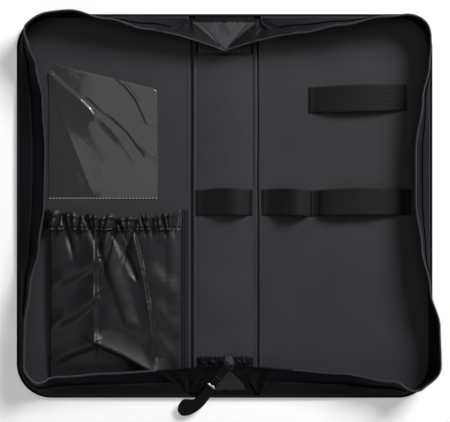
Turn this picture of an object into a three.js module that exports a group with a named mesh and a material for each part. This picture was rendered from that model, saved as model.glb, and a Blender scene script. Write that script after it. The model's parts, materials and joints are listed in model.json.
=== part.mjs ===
// A zipped knife case with two stiff lids on a stiff spine, lying open on its back.
// Millimetres, +Z up, +X across to the right lid, +Y towards the far end.
// The origin is the middle of the spine's underside.
import * as THREE from "three";

// Main sizes of the case
const caseLength = 467;
const lidWidth = 213;
const spineWidth = 80;
const cornerRadius = 42;

// Thickness of each layer, from the table up
const coverThick = 1.2;
const boardThick = 3;
const liningThick = 0.8;

// Fold lines: the boards stop short of the fold, and cloth bridges the gap
const coverFoldGap = 0.2;
const boardFoldGap = 4.2;
const foldClothThick = 0.7;

// Seams and clearances
const seamGap = 0.3;
const pipingDiameter = 3.2;
const pipingGap = 0.3;
const pipingSides = 8;
const rimGap = 0.9;

// Standing walls, measured up their slope
const wallThick = 1.4;
const wallClothHeight = 22;
const tapeOverlap = 4;
const tapeThick = 0.9;
const tapeGap = 0.6;
const coilWidth = 2;
const coilThick = 2.6;
const mitreGap = 6;
const wallEndHeight = 1;
const straightStep = 26;
const arcSteps = 6;

// How far a lid's rim leans in over the lid. Each pair is [distance, lean], and the distance runs
// along the lid's edge from the far end of its fold to the near end.
const leftLean = [
  [0, 32], [52, 20], [101, 8], [144, -2], [204, 3], [237, 14], [262, 22], [301, 29], [362, 32], [425, 31],
  [479, 25], [528, 15], [574, 9], [621, 8], [654, 11], [699, 23], [760, 27], [820, 30], [858, 32]
];
const rightLean = [
  [0, 31], [51, 23], [100, 14], [149, 4], [204, -3], [237, 1], [262, 3], [301, 11], [362, 19], [425, 19],
  [479, 12], [528, 2], [574, -8], [621, -9], [654, 1], [699, 18], [760, 27], [820, 31], [858, 32]
];
const endLean = 32;

// Elastic straps
const elasticWidth = 32;
const elasticThick = 1.5;
const strapFoot = 5;
const strapFootGap = 0.2;
const knifeStrapMiddle = 4;
const upperStrapMiddle = 130;
const upperStrapStart = 103;
const upperStrapEnd = 221;
const upperStrapRise = 7;
const spineLoopRise = 11;
const middleLoopStart = 45;
const middleLoopEnd = 108;
const middleLoopRise = 13;
const outerLoopEnd = 226;
const outerLoopRise = 10;
const loopSteps = 18;
const loopFullness = 0.8;
const tackWidth = 1.6;
const tackThick = 0.7;
const tackInset = 1.5;

// Clear window pocket on the left lid
const windowWidth = 133;
const windowHeight = 162;
const windowOuterInset = 39;
const windowBottom = 10;
const windowCrown = 2.6;
const filmThick = 0.5;
const filmFullness = 0.7;
const filmSteps = [12, 10];
const seamWidth = 0.9;

// Gathered pocket on the left lid
const pocketOuterInset = 40;
const pocketInnerInset = 12;
const pocketBottomInset = 12;
const pocketTop = -28;
const pocketDepth = 15;
const pocketClothThick = 1;
const pocketFullness = 0.5;
const pocketSag = 0.12;
const pocketFootShare = 0.62;
const pocketFootFullness = 0.8;
const pocketSteps = [34, 12];
const pleatDepth = 2.2;
const pleatCount = 3;
const pleatDrift = 0.1;
const pleatSharpness = 0.6;
const pleatFadeShare = 0.4;
const casingHeight = 24;
const casingOverhang = 10;
const casingFold = 2.6;
const casingSwell = 0.35;
const casingEase = 8;
const casingGathers = 13;
const casingRows = 3;
const stepsPerGather = 4;
const pocketElasticWidth = 9;
const elasticEndSteps = 2;
const sideBindingThick = 1;

// Spine lining stops short of the end gussets
const spineLiningEndInset = 49;
const tapeEndWidth = 64;
const tapeEndLength = 13;
const gussetEdge = 1;
const gussetSteps = 12;
const apexWidth = 2;
const foldPleat = 1;
const foldPleatCount = 3;
const foldThick = 0.8;
const foldStartRise = 7;
const foldSideGap = 1.4;
const foldSteps = [8, 4];

// Zip slider and its pull
const sliderX = 5;
const sliderLength = 16;
const sliderWidth = 13;
const sliderNose = 4;
const sliderPlate = 1.2;
const sliderSlot = 2.4;
const tongueWidth = 6;
const tongueThick = 1.4;
const bridgeHeight = 6;
const bridgeWire = 1.6;
const bridgeSpan = 8;
const linkLength = 22;
const linkWidth = 10;
const linkThick = 1.4;
const linkEyeLength = 5.4;
const linkBarGap = 0.4;
const tabNeckWidth = 9;
const tabThick = 2.4;
const tabGap = 0.8;
const tabCurveSteps = 3;
const ferruleFromLink = 11.5;
const ferruleLength = 2.4;
const ferruleWall = 0.6;
const ferruleSideGap = 0.6;
const pullTurn = 38;
const pullDrop = 12.5;

// The leather tab's two edges, as [distance from its neck, distance beside its middle line]. The tab
// swells to the left only past the lid's corner, so that the closing lid clears it.
const tabRightEdge = [[0, 4.5], [12, 4.7], [26, 6.9], [37, 7.2], [48, 4.9], [58, 0.2], [64.5, -6.5]];
const tabLeftEdge = [
  [64.5, -6.5], [62, -11.4], [54.5, -12.6], [46.5, -8.8], [39, -4.9], [26, -4.6], [12, -4.6], [0, -4.5]
];

// Levels and places that follow from the sizes above
const coverTop = coverThick;
const boardTop = coverTop + boardThick;
const liningTop = boardTop + liningThick;
const foldX = spineWidth / 2;
const foldZ = coverTop;
const halfLength = caseLength / 2;
const outerX = foldX + lidWidth;
const layerInset = pipingDiameter + pipingGap;
const wallInset = layerInset + wallThick;
const wallHeight = foldX + foldZ - liningTop - rimGap;
const straightEnd = lidWidth - cornerRadius;
const cornerRun = Math.PI / 2 * cornerRadius;
const sideRun = caseLength - 2 * cornerRadius;
const edgeRun = 2 * (straightEnd + cornerRun) + sideRun;
const measuredRun = leftLean[leftLean.length - 1][0];
const degree = Math.PI / 180;

// How far a closed lid's lining, and a strap on it, stand in over the spine
const closedLining = liningTop - foldZ + seamGap;
const closedStrap = closedLining + strapFootGap + elasticThick;

const knifeCase = new THREE.Group();

function addPiece(name, geometry, colour, roughness, metalness = 0) {
  const material = new THREE.MeshStandardMaterial({ color: colour, roughness, metalness });
  const mesh = new THREE.Mesh(geometry, material);
  mesh.name = name;
  knifeCase.add(mesh);
  return mesh;
}

// Finishes
const cloth = [0x232326, 0.8];
const lining = [0x4a4a4d, 0.6];
const board = [0x1c1c1e, 0.9];
const webbing = [0x29292b, 0.9];
const satin = [0x343438, 0.55];
const coilFinish = [0x202022, 0.4];
const darkMetal = [0x2b2b2e, 0.35, 0.8];
const clearFilm = [0x9a9a98, 0.15];
const whiteThread = [0x8a8a88, 0.7];
const leather = [0x1f1f21, 0.5];
const brightMetal = [0x8b8b8e, 0.3, 1];

// A closed body through rings of points. In each ring, point i faces point count - 1 - i.
function skinRings(rings) {
  const count = rings[0].length;
  const positions = rings.flat().flatMap((p) => [p.x, p.y, p.z]);
  const faces = [];
  for (let r = 0; r < rings.length - 1; r += 1) {
    for (let i = 0; i < count; i += 1) {
      const j = (i + 1) % count;
      const a = r * count + i;
      const b = r * count + j;
      faces.push(a, b, b + count, a, b + count, a + count);
    }
  }
  const last = (rings.length - 1) * count;
  for (let i = 0; i < count / 2 - 1; i += 1) {
    const k = count - 1 - i;
    faces.push(i, k, k - 1, i, k - 1, i + 1);
    faces.push(last + i, last + i + 1, last + k - 1, last + i, last + k - 1, last + k);
  }
  return outwardGeometry(positions, faces);
}

// Turns the faces round where the body would be inside out.
function outwardGeometry(positions, faces) {
  let volume = 0;
  const at = (i) => new THREE.Vector3().fromArray(positions, 3 * i);
  for (let f = 0; f < faces.length; f += 3) {
    const [a, b, c] = [at(faces[f]), at(faces[f + 1]), at(faces[f + 2])];
    volume += a.dot(b.cross(c));
  }
  if (volume < 0) {
    for (let f = 0; f < faces.length; f += 3) {
      [faces[f + 1], faces[f + 2]] = [faces[f + 2], faces[f + 1]];
    }
  }
  const geometry = new THREE.BufferGeometry();
  geometry.setAttribute("position", new THREE.Float32BufferAttribute(positions, 3));
  geometry.setIndex(faces);
  return geometry;
}

// A sheet over a grid: under(u, v) gives the lower point, and the upper one is thick above it.
function sheetGeometry(across, along, thick, under) {
  const rings = [];
  for (let j = 0; j <= along; j += 1) {
    const low = [];
    for (let i = 0; i <= across; i += 1) {
      low.push(under(i / across, j / along));
    }
    const high = low.map((p) => new THREE.Vector3(p.x, p.y, p.z + thick)).reverse();
    rings.push(low.concat(high));
  }
  return skinRings(rings);
}

function plate(shape, thick, bottom, curveSegments = arcSteps) {
  const geometry = new THREE.ExtrudeGeometry(shape, { depth: thick, bevelEnabled: false, curveSegments });
  geometry.translate(0, 0, bottom);
  return geometry;
}

function block(width, length, height, x, y, bottom) {
  const geometry = new THREE.BoxGeometry(width, length, height);
  geometry.translate(x, y, bottom + height / 2);
  return geometry;
}

// Smooth steps between listed [distance, value] pairs
function readAlong(list, distance) {
  let k = 0;
  while (k < list.length - 2 && distance > list[k + 1][0]) {
    k += 1;
  }
  const [fromAt, fromValue] = list[k];
  const [toAt, toValue] = list[k + 1];
  const t = THREE.MathUtils.clamp((distance - fromAt) / (toAt - fromAt), 0, 1);
  return fromValue + (toValue - fromValue) * t * t * (3 - 2 * t);
}

// A lid's flat outline, square at the fold and round at the outer corners
function lidShape(side, inset, foldInset) {
  const inner = foldX + foldInset;
  const outer = outerX - inset;
  const end = halfLength - inset;
  const radius = cornerRadius - inset;
  const shape = new THREE.Shape();
  shape.moveTo(side * inner, -end);
  shape.lineTo(side * (outer - radius), -end);
  const turn = side > 0 ? 0 : Math.PI;
  const quarter = side * Math.PI / 2;
  shape.absarc(side * (outer - radius), -end + radius, radius, -Math.PI / 2, turn, side < 0);
  shape.absarc(side * (outer - radius), end - radius, radius, turn, turn + quarter, side < 0);
  shape.lineTo(side * inner, end);
  shape.closePath();
  return shape;
}

// Where a distance along the lid's edge lies in plan, and which way is in over the lid
function edgePlace(side, distance) {
  const fromEnd = Math.min(distance, edgeRun - distance);
  const far = distance < edgeRun / 2 ? 1 : -1;
  const arcX = outerX - cornerRadius;
  const arcY = halfLength - cornerRadius;
  if (fromEnd <= straightEnd) {
    return { x: side * (foldX + fromEnd), y: far * halfLength, inX: 0, inY: -far };
  }
  if (fromEnd <= straightEnd + cornerRun) {
    const angle = Math.PI / 2 - (fromEnd - straightEnd) / cornerRadius;
    const outX = side * Math.cos(angle);
    const outY = far * Math.sin(angle);
    return {
      x: side * arcX + cornerRadius * outX,
      y: far * arcY + cornerRadius * outY,
      inX: -outX,
      inY: -outY
    };
  }
  const downSide = distance - straightEnd - cornerRun;
  return { x: side * outerX, y: arcY - downSide, inX: -side, inY: 0 };
}

function edgeDistances() {
  const marks = [0];
  const runs = [straightEnd, cornerRun, sideRun, cornerRun, straightEnd];
  for (const [index, run] of runs.entries()) {
    const steps = index % 2 ? arcSteps : Math.ceil(run / straightStep);
    const start = marks[marks.length - 1];
    for (let i = 1; i <= steps; i += 1) {
      marks.push(start + run * i / steps);
    }
  }
  return marks;
}

// A point of a leaning wall: up its slope by rise, and out of its face by out
function slopePoint(place, lean, floor, rise, out) {
  const tip = lean / wallHeight;
  const stand = Math.sqrt(1 - tip * tip);
  const inward = wallInset + rise * tip - out * stand;
  const z = Math.max(floor, floor + rise * stand + out * tip);
  return new THREE.Vector3(place.x + place.inX * inward, place.y + place.inY * inward, z);
}

// Near the fold, a lid's wall is cut back on a slant, so that the lids can close
function slantLimit(distance) {
  return Math.min(distance, edgeRun - distance) - mitreGap;
}

function lidPlaceAt(side, distance) {
  const leans = side < 0 ? leftLean : rightLean;
  const lean = readAlong(leans, distance / edgeRun * measuredRun);
  return { place: edgePlace(side, distance), lean };
}

// Every strip of a wall is cut at the same distances, so that neighbours stay parallel
const tapeStart = wallClothHeight - tapeOverlap;
const coilStart = wallHeight - coilWidth;
const wallLevels = [0, tapeStart, wallClothHeight];
const tapeLevels = [tapeStart, wallClothHeight, coilStart - seamGap];
const coilLevels = [coilStart, wallHeight];

function wallMarks() {
  const starts = [0, tapeStart, coilStart].map((rise) => rise + wallEndHeight);
  const rises = [starts[0], starts[1], wallClothHeight, starts[2], wallHeight];
  const turns = rises.map((rise) => rise + mitreGap);
  const last = turns[turns.length - 1] + wallEndHeight;
  const straight = edgeDistances().filter((d) => d > last && d < edgeRun - last);
  return turns.concat(straight, turns.map((d) => edgeRun - d).reverse());
}

// A strip of the lid's wall through the listed heights up its slope, between two depths through it
function wallStrip(side, levels, inner, outer) {
  const low = levels[0];
  const marks = wallMarks().filter((distance) => slantLimit(distance) > low + wallEndHeight / 2);
  const rings = marks.map((distance) => {
    const { place, lean } = lidPlaceAt(side, distance);
    const high = levels[levels.length - 1];
    const share = Math.min(1, (slantLimit(distance) - low) / (high - low));
    const rises = levels.map((level) => low + (level - low) * share);
    const inside = rises.map((rise) => slopePoint(place, lean, liningTop, rise, inner));
    const outside = rises.map((rise) => slopePoint(place, lean, liningTop, rise, outer));
    return inside.concat(outside.reverse());
  });
  return skinRings(rings);
}

const tapeOuter = -wallThick / 2 - tapeGap;
const tapeInner = tapeOuter - tapeThick;
const coilOuter = (tapeOuter + tapeInner + coilThick) / 2;

function wallGeometry(side) {
  return wallStrip(side, wallLevels, -wallThick / 2, wallThick / 2);
}

function tapeGeometry(side) {
  return wallStrip(side, tapeLevels, tapeInner, tapeOuter);
}

function coilGeometry(side) {
  return wallStrip(side, coilLevels, coilOuter - coilThick, coilOuter);
}

// Round cord sewn into the edge seam. It stops short of the fold, so that it clears the spine's cord.
const pipingFoldInset = pipingDiameter + 2 * seamGap;

function pipingGeometry(side) {
  const radius = pipingDiameter / 2;
  const marks = edgeDistances();
  marks[0] = pipingFoldInset;
  marks[marks.length - 1] = edgeRun - pipingFoldInset;
  const rings = marks.map((distance) => pipingRing(edgePlace(side, distance), radius));
  return skinRings(rings);
}

function pipingRing(place, radius) {
  const ring = [];
  for (let i = 0; i < pipingSides; i += 1) {
    const angle = (i + 0.5) * 2 * Math.PI / pipingSides;
    const inward = radius + radius * Math.cos(angle);
    const z = coverTop + seamGap + radius + radius * Math.sin(angle);
    ring.push(new THREE.Vector3(place.x + place.inX * inward, place.y + place.inY * inward, z));
  }
  return ring;
}

function spineEndPlace(x, far) {
  return { x, y: far * halfLength, inX: 0, inY: -far };
}

function spinePipingGeometry(far) {
  const reach = foldX - seamGap;
  const radius = pipingDiameter / 2;
  return skinRings([-reach, reach].map((x) => pipingRing(spineEndPlace(x, far), radius)));
}

function lidLayers(side, word) {
  const coverShape = lidShape(side, 0, coverFoldGap);
  const boardShape = lidShape(side, layerInset, boardFoldGap);
  addPiece(`${word}_cover`, plate(coverShape, coverThick, 0), ...cloth);
  addPiece(`${word}_board`, plate(boardShape, boardThick, coverTop), ...board);
  addPiece(`${word}_lining`, plate(boardShape, liningThick, boardTop), ...lining);
  addPiece(`${word}_piping`, pipingGeometry(side), ...cloth);
  addPiece(`${word}_wall`, wallGeometry(side), ...cloth);
  addPiece(`${word}_zip_tape`, tapeGeometry(side), ...webbing);
  addPiece(`${word}_zip_coil`, coilGeometry(side), ...coilFinish);
}

// Spine, its end gussets and the cloth over the two folds
function spineLayers() {
  const boardWidth = spineWidth - 2 * boardFoldGap;
  const boardLength = caseLength - 2 * layerInset;
  const liningLength = caseLength - 2 * spineLiningEndInset;
  const coverWidth = spineWidth - 2 * coverFoldGap;
  addPiece("spine_cover", block(coverWidth, caseLength, coverThick, 0, 0, 0), ...cloth);
  addPiece("spine_board", block(boardWidth, boardLength, boardThick, 0, 0, coverTop), ...board);
  addPiece("spine_lining", block(boardWidth, liningLength, liningThick, 0, 0, boardTop), ...lining);
  const foldWidth = 2 * (boardFoldGap - seamGap);
  for (const [word, side] of [["left", -1], ["right", 1]]) {
    const strip = block(foldWidth, boardLength, foldClothThick, side * foldX, 0, coverTop + seamGap);
    addPiece(`${word}_fold_cloth`, strip, ...lining);
  }
  for (const [word, far] of [["top", 1], ["bottom", -1]]) {
    const endY = far * (halfLength - spineLiningEndInset + tapeEndLength / 2 + seamGap);
    const tapeEnd = block(tapeEndWidth, tapeEndLength, tapeThick, 0, endY, boardTop);
    addPiece(`${word}_tape_end`, tapeEnd, ...webbing);
    addPiece(`${word}_gusset`, gussetGeometry(far), ...cloth);
    addPiece(`${word}_spine_piping`, spinePipingGeometry(far), ...cloth);
  }
}

// The end gussets are triangles that lean in, with the zip's end at the apex
const gussetHalf = foldX - closedLining;
const apexRise = wallHeight - apexWidth;
const endStand = Math.sqrt(wallHeight ** 2 - endLean ** 2) / wallHeight;
const apexInset = wallInset + apexRise * endLean / wallHeight + wallThick / 2 * endStand;

function gussetGeometry(far) {
  const rings = [];
  for (let i = 0; i <= gussetSteps; i += 1) {
    const x = gussetHalf * (2 * i / gussetSteps - 1);
    const top = Math.max(gussetEdge, apexRise * (1 - Math.abs(x) / gussetHalf));
    const place = spineEndPlace(x, far);
    rings.push([
      slopePoint(place, endLean, boardTop, 0, -wallThick / 2),
      slopePoint(place, endLean, boardTop, top, -wallThick / 2),
      slopePoint(place, endLean, boardTop, top, wallThick / 2),
      slopePoint(place, endLean, boardTop, 0, wallThick / 2)
    ]);
  }
  return skinRings(rings);
}

// The loose cloth that folds up between an end gusset and a lid's slanted wall end
function cornerFoldGeometry(side, far) {
  return sheetGeometry(...foldSteps, foldThick, (u, v) => {
    const rise = foldStartRise + (apexRise - foldStartRise) * v;
    const spineX = side * gussetHalf * (1 - rise / apexRise);
    const fromSpine = slopePoint(spineEndPlace(spineX, far), endLean, boardTop, rise, 0);
    const along = rise + mitreGap;
    const distance = far > 0 ? along : edgeRun - along;
    const { place, lean } = lidPlaceAt(side, distance);
    const fromLid = slopePoint(place, lean, liningTop, rise, 0);
    const gap = fromSpine.distanceTo(fromLid);
    const share = (foldSideGap + (gap - 2 * foldSideGap) * u) / gap;
    const point = fromSpine.lerp(fromLid, share);
    const pleat = foldPleat * v * Math.sin(foldPleatCount * Math.PI * u) ** 2;
    point.z += pleat - foldThick / 2;
    return point;
  });
}

// An elastic loop with a sewn foot at each end and a low arch between
function loopGeometry(start, end, rise, middleY) {
  const outline = new THREE.Shape();
  const reach = end - start - 2 * strapFoot;
  const arch = (t) => rise * Math.sin(Math.PI * t) ** loopFullness;
  const base = liningTop + strapFootGap;
  outline.moveTo(start, base);
  outline.lineTo(start + strapFoot, base);
  for (let i = 1; i < loopSteps; i += 1) {
    const t = i / loopSteps;
    outline.lineTo(start + strapFoot + reach * t, base + arch(t));
  }
  outline.lineTo(end - strapFoot, base);
  outline.lineTo(end, base);
  outline.lineTo(end, base + elasticThick);
  outline.lineTo(end - strapFoot, base + elasticThick);
  for (let i = loopSteps - 1; i > 0; i -= 1) {
    const t = i / loopSteps;
    outline.lineTo(start + strapFoot + reach * t, base + arch(t) + elasticThick);
  }
  outline.lineTo(start + strapFoot, base + elasticThick);
  outline.lineTo(start, base + elasticThick);
  outline.closePath();
  const geometry = new THREE.ExtrudeGeometry(outline, { depth: elasticWidth, bevelEnabled: false });
  geometry.rotateX(Math.PI / 2);
  geometry.translate(0, middleY + elasticWidth / 2, 0);
  return geometry;
}

// A bar of close stitches across each sewn foot
function addTacks(word, places) {
  const base = liningTop + strapFootGap + elasticThick;
  const length = elasticWidth - 2 * tackInset;
  for (const [index, [x, y]] of places.entries()) {
    addPiece(`${word}_${index + 1}`, block(tackWidth, length, tackThick, x, y, base), ...satin);
  }
}

function straps() {
  const spineLoopReach = foldX - closedStrap;
  const spineLoop = loopGeometry(-spineLoopReach, spineLoopReach, spineLoopRise, knifeStrapMiddle);
  addPiece("knife_strap_spine_loop", spineLoop, ...webbing);
  const middleLoop = loopGeometry(middleLoopStart, middleLoopEnd, middleLoopRise, knifeStrapMiddle);
  addPiece("knife_strap_middle_loop", middleLoop, ...webbing);
  const outerLoopStart = middleLoopEnd + seamGap;
  const outerLoop = loopGeometry(outerLoopStart, outerLoopEnd, outerLoopRise, knifeStrapMiddle);
  addPiece("knife_strap_outer_loop", outerLoop, ...webbing);
  const upper = loopGeometry(upperStrapStart, upperStrapEnd, upperStrapRise, upperStrapMiddle);
  addPiece("upper_strap", upper, ...webbing);
  const tack = strapFoot / 2;
  const spineTacks = [-1, 1].map((end) => [end * (spineLoopReach - tack), knifeStrapMiddle]);
  addTacks("spine_strap_tack", spineTacks);
  const lidTacks = [
    [middleLoopStart + tack, knifeStrapMiddle],
    [middleLoopEnd - tack, knifeStrapMiddle],
    [outerLoopStart + tack, knifeStrapMiddle],
    [outerLoopEnd - tack, knifeStrapMiddle],
    [upperStrapStart + tack, upperStrapMiddle],
    [upperStrapEnd - tack, upperStrapMiddle]
  ];
  addTacks("lid_strap_tack", lidTacks);
}

// Clear film pocket, sewn along its lower edge, with a slight crown
function windowPieces() {
  const left = -outerX + windowOuterInset;
  const film = sheetGeometry(...filmSteps, filmThick, (u, v) => {
    const crown = windowCrown * Math.sin(Math.PI * u) ** filmFullness * Math.sin(Math.PI * v / 2);
    const x = left + windowWidth * u;
    return new THREE.Vector3(x, windowBottom + windowHeight * v, liningTop + seamGap + crown);
  });
  addPiece("window_film", film, ...clearFilm);
  const seamY = windowBottom - seamWidth / 2 - seamGap;
  const seam = block(windowWidth, seamWidth, filmThick, left + windowWidth / 2, seamY, liningTop);
  addPiece("window_seam", seam, ...whiteThread);
}

// How far the gathered pocket stands off the lining
function pocketLift(u, v) {
  const sides = Math.max(0, Math.sin(Math.PI * u)) ** pocketFullness;
  const foot = Math.sin(Math.PI / 2 * Math.min(1, v / pocketFootShare)) ** pocketFootFullness;
  return pocketDepth * sides * foot * (1 - pocketSag * v);
}

// Long folds that start at the gathers and fade out towards the foot
function pocketPleat(u, v) {
  const drift = u + pleatDrift * (1 - v);
  const fold = Math.abs(Math.sin(pleatCount * Math.PI * drift)) ** pleatSharpness - pleatSharpness;
  return pleatDepth * fold * Math.sin(Math.PI * u) * Math.min(1, v / pleatFadeShare);
}

const pocketLeft = -outerX + pocketOuterInset;
const pocketRight = -foldX - pocketInnerInset;
const pocketBottom = -halfLength + pocketBottomInset;

function pocketFront() {
  const width = pocketRight - pocketLeft;
  const height = pocketTop - pocketBottom;
  return sheetGeometry(...pocketSteps, pocketClothThick, (u, v) => {
    const lift = Math.max(0, pocketLift(u, v) + pocketPleat(u, v));
    const z = liningTop + seamGap + lift;
    return new THREE.Vector3(pocketLeft + width * u, pocketBottom + height * v, z);
  });
}

// The gathered hem, and the elastic that lies flat under its gathers
const casingLeft = pocketLeft - casingOverhang;
const casingSteps = stepsPerGather * casingGathers;

function casingPoint(u, y, above) {
  const ease = Math.min(1, casingEase * u * (1 - u));
  const lift = (pocketLift(u, 1) + seamGap) * ease;
  const x = casingLeft + (pocketRight - casingLeft) * u;
  return new THREE.Vector3(x, y, liningTop + 2 * seamGap + lift + above * ease);
}

function casingGeometry() {
  return sheetGeometry(casingSteps, casingRows, pocketClothThick, (u, v) => {
    const gather = casingFold * (0.5 - 0.5 * Math.cos(2 * Math.PI * casingGathers * u));
    const swell = 1 + casingSwell * Math.sin(Math.PI * v);
    return casingPoint(u, pocketTop + seamGap + casingHeight * v, gather * swell);
  });
}

function pocketElastic() {
  const steps = casingSteps - 2 * elasticEndSteps;
  const start = pocketTop + seamGap + (casingHeight - pocketElasticWidth) / 2;
  return sheetGeometry(steps, 1, tapeThick, (u, v) => {
    const whole = (elasticEndSteps + steps * u) / casingSteps;
    const point = casingPoint(whole, start + pocketElasticWidth * v, 0);
    point.z -= tapeThick + seamGap;
    return point;
  });
}

function pocketPieces() {
  addPiece("pocket_front", pocketFront(), ...satin);
  addPiece("pocket_casing", casingGeometry(), ...satin);
  addPiece("pocket_elastic", pocketElastic(), ...webbing);
  const length = pocketTop + casingHeight - pocketBottom;
  const width = pocketInnerInset - seamGap - closedLining;
  const x = pocketRight + seamGap + width / 2;
  const binding = block(width, length, sideBindingThick, x, pocketBottom + length / 2, liningTop);
  addPiece("pocket_side_binding", binding, ...satin);
}

// The slider rides on a short tongue of joined tape at the near gusset's apex
const tongueZ = boardTop + apexRise * endStand;
const sliderY = -halfLength + apexInset + seamGap + sliderLength / 2;
const sliderBottom = tongueZ - (sliderSlot - tongueThick) / 2 - sliderPlate;
const sliderTop = sliderBottom + 2 * sliderPlate + sliderSlot;

// Side view of the body: two plates joined at the nose, with the slot between them
function sliderProfile() {
  const half = sliderLength / 2;
  const shape = new THREE.Shape();
  shape.moveTo(-half, 0);
  shape.lineTo(half, 0);
  shape.lineTo(half, 2 * sliderPlate + sliderSlot);
  shape.lineTo(-half, 2 * sliderPlate + sliderSlot);
  shape.lineTo(-half, sliderPlate + sliderSlot);
  shape.lineTo(half - sliderNose, sliderPlate + sliderSlot);
  shape.lineTo(half - sliderNose, sliderPlate);
  shape.lineTo(-half, sliderPlate);
  shape.closePath();
  return shape;
}

function sliderPieces() {
  const body = new THREE.ExtrudeGeometry(sliderProfile(), { depth: sliderWidth, bevelEnabled: false });
  body.rotateX(Math.PI / 2);
  body.rotateZ(Math.PI / 2);
  body.translate(sliderX - sliderWidth / 2, sliderY, sliderBottom);
  addPiece("slider_body", body, ...darkMetal);
  const tongueLength = sliderLength - sliderNose - seamGap;
  const tongueY = sliderY - (sliderNose + seamGap) / 2;
  const tongue = block(tongueWidth, tongueLength, tongueThick, sliderX, tongueY, tongueZ);
  addPiece("zip_tongue", tongue, ...coilFinish);
  addPiece("slider_bridge", bridgeGeometry(), ...darkMetal);
}

// A small arch on the slider's top plate, which the pull's eye hangs on
function bridgeGeometry() {
  const shape = new THREE.Shape();
  const half = bridgeSpan / 2;
  const inner = half - bridgeWire;
  shape.moveTo(-half, 0);
  shape.lineTo(-inner, 0);
  shape.lineTo(-inner, bridgeHeight - bridgeWire);
  shape.lineTo(inner, bridgeHeight - bridgeWire);
  shape.lineTo(inner, 0);
  shape.lineTo(half, 0);
  shape.lineTo(half, bridgeHeight);
  shape.lineTo(-half, bridgeHeight);
  shape.closePath();
  const bridge = new THREE.ExtrudeGeometry(shape, { depth: bridgeWire, bevelEnabled: false });
  bridge.translate(0, 0, -bridgeWire / 2);
  bridge.rotateX(Math.PI / 2);
  bridge.rotateZ(Math.PI / 2 - pullTurn * degree);
  bridge.translate(sliderX, sliderY, sliderTop);
  return bridge;
}

// The pull lies along its own X axis, from the bar under the bridge to the tab's tip
const pivotHeight = bridgeHeight - bridgeWire - linkThick / 2 - linkBarGap;

function pullPieces() {
  const pull = new THREE.Group();
  pull.position.set(sliderX, sliderY, sliderTop + pivotHeight);
  pull.rotation.set(0, 0, -Math.PI / 2 - pullTurn * degree, "ZYX");
  pull.rotation.y = pullDrop * degree;
  knifeCase.add(pull);
  const link = addPiece("pull_link", linkGeometry(), ...darkMetal);
  const tab = addPiece("pull_tab", tabGeometry(), ...leather);
  const ferrule = addPiece("pull_ferrule", ferruleGeometry(), ...brightMetal);
  pull.add(link, tab, ferrule);
}

function linkGeometry() {
  const half = linkWidth / 2;
  const bar = linkThick / 2;
  const shape = new THREE.Shape();
  shape.moveTo(-bar, -half);
  shape.lineTo(linkLength - tabGap, -tabNeckWidth / 2);
  shape.lineTo(linkLength - tabGap, tabNeckWidth / 2);
  shape.lineTo(-bar, half);
  shape.closePath();
  const eye = new THREE.Path();
  eye.moveTo(bar, -half + linkThick);
  eye.lineTo(bar, half - linkThick);
  eye.lineTo(bar + linkEyeLength, half - linkThick);
  eye.lineTo(bar + linkEyeLength, -half + linkThick);
  eye.closePath();
  shape.holes.push(eye);
  return plate(shape, linkThick, -linkThick / 2);
}

function tabGeometry() {
  const shape = new THREE.Shape();
  const toPoint = ([along, beside]) => new THREE.Vector2(linkLength + along, beside);
  const right = tabRightEdge.map(toPoint);
  const left = tabLeftEdge.map(toPoint);
  shape.moveTo(right[0].x, right[0].y);
  shape.splineThru(right.slice(1));
  shape.splineThru(left.slice(1));
  shape.closePath();
  return plate(shape, tabThick, -tabThick / 2, tabCurveSteps);
}

// A metal band round the tab's neck
function ferruleGeometry() {
  const start = linkLength + ferruleFromLink;
  const halfY = tabNeckWidth / 2 + ferruleSideGap;
  const halfZ = tabThick / 2 + seamGap;
  const outline = new THREE.Shape();
  outline.moveTo(-halfY - ferruleWall, -halfZ - ferruleWall);
  outline.lineTo(halfY + ferruleWall, -halfZ - ferruleWall);
  outline.lineTo(halfY + ferruleWall, halfZ + ferruleWall);
  outline.lineTo(-halfY - ferruleWall, halfZ + ferruleWall);
  outline.closePath();
  const hole = new THREE.Path();
  hole.moveTo(-halfY, -halfZ);
  hole.lineTo(-halfY, halfZ);
  hole.lineTo(halfY, halfZ);
  hole.lineTo(halfY, -halfZ);
  hole.closePath();
  outline.holes.push(hole);
  const band = new THREE.ExtrudeGeometry(outline, { depth: ferruleLength, bevelEnabled: false });
  band.rotateX(Math.PI / 2);
  band.rotateZ(Math.PI / 2);
  band.translate(start, 0, 0);
  return band;
}

lidLayers(-1, "left");
lidLayers(1, "right");
spineLayers();
for (const [endWord, far] of [["top", 1], ["bottom", -1]]) {
  for (const [word, side] of [["left", -1], ["right", 1]]) {
    addPiece(`${endWord}_${word}_fold`, cornerFoldGeometry(side, far), ...cloth);
  }
}
windowPieces();
pocketPieces();
straps();
sliderPieces();
pullPieces();

export default knifeCase;
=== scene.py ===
import json
import math
import bpy
import bmesh
import numpy as np
from mathutils import Matrix, Vector, noise


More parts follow.
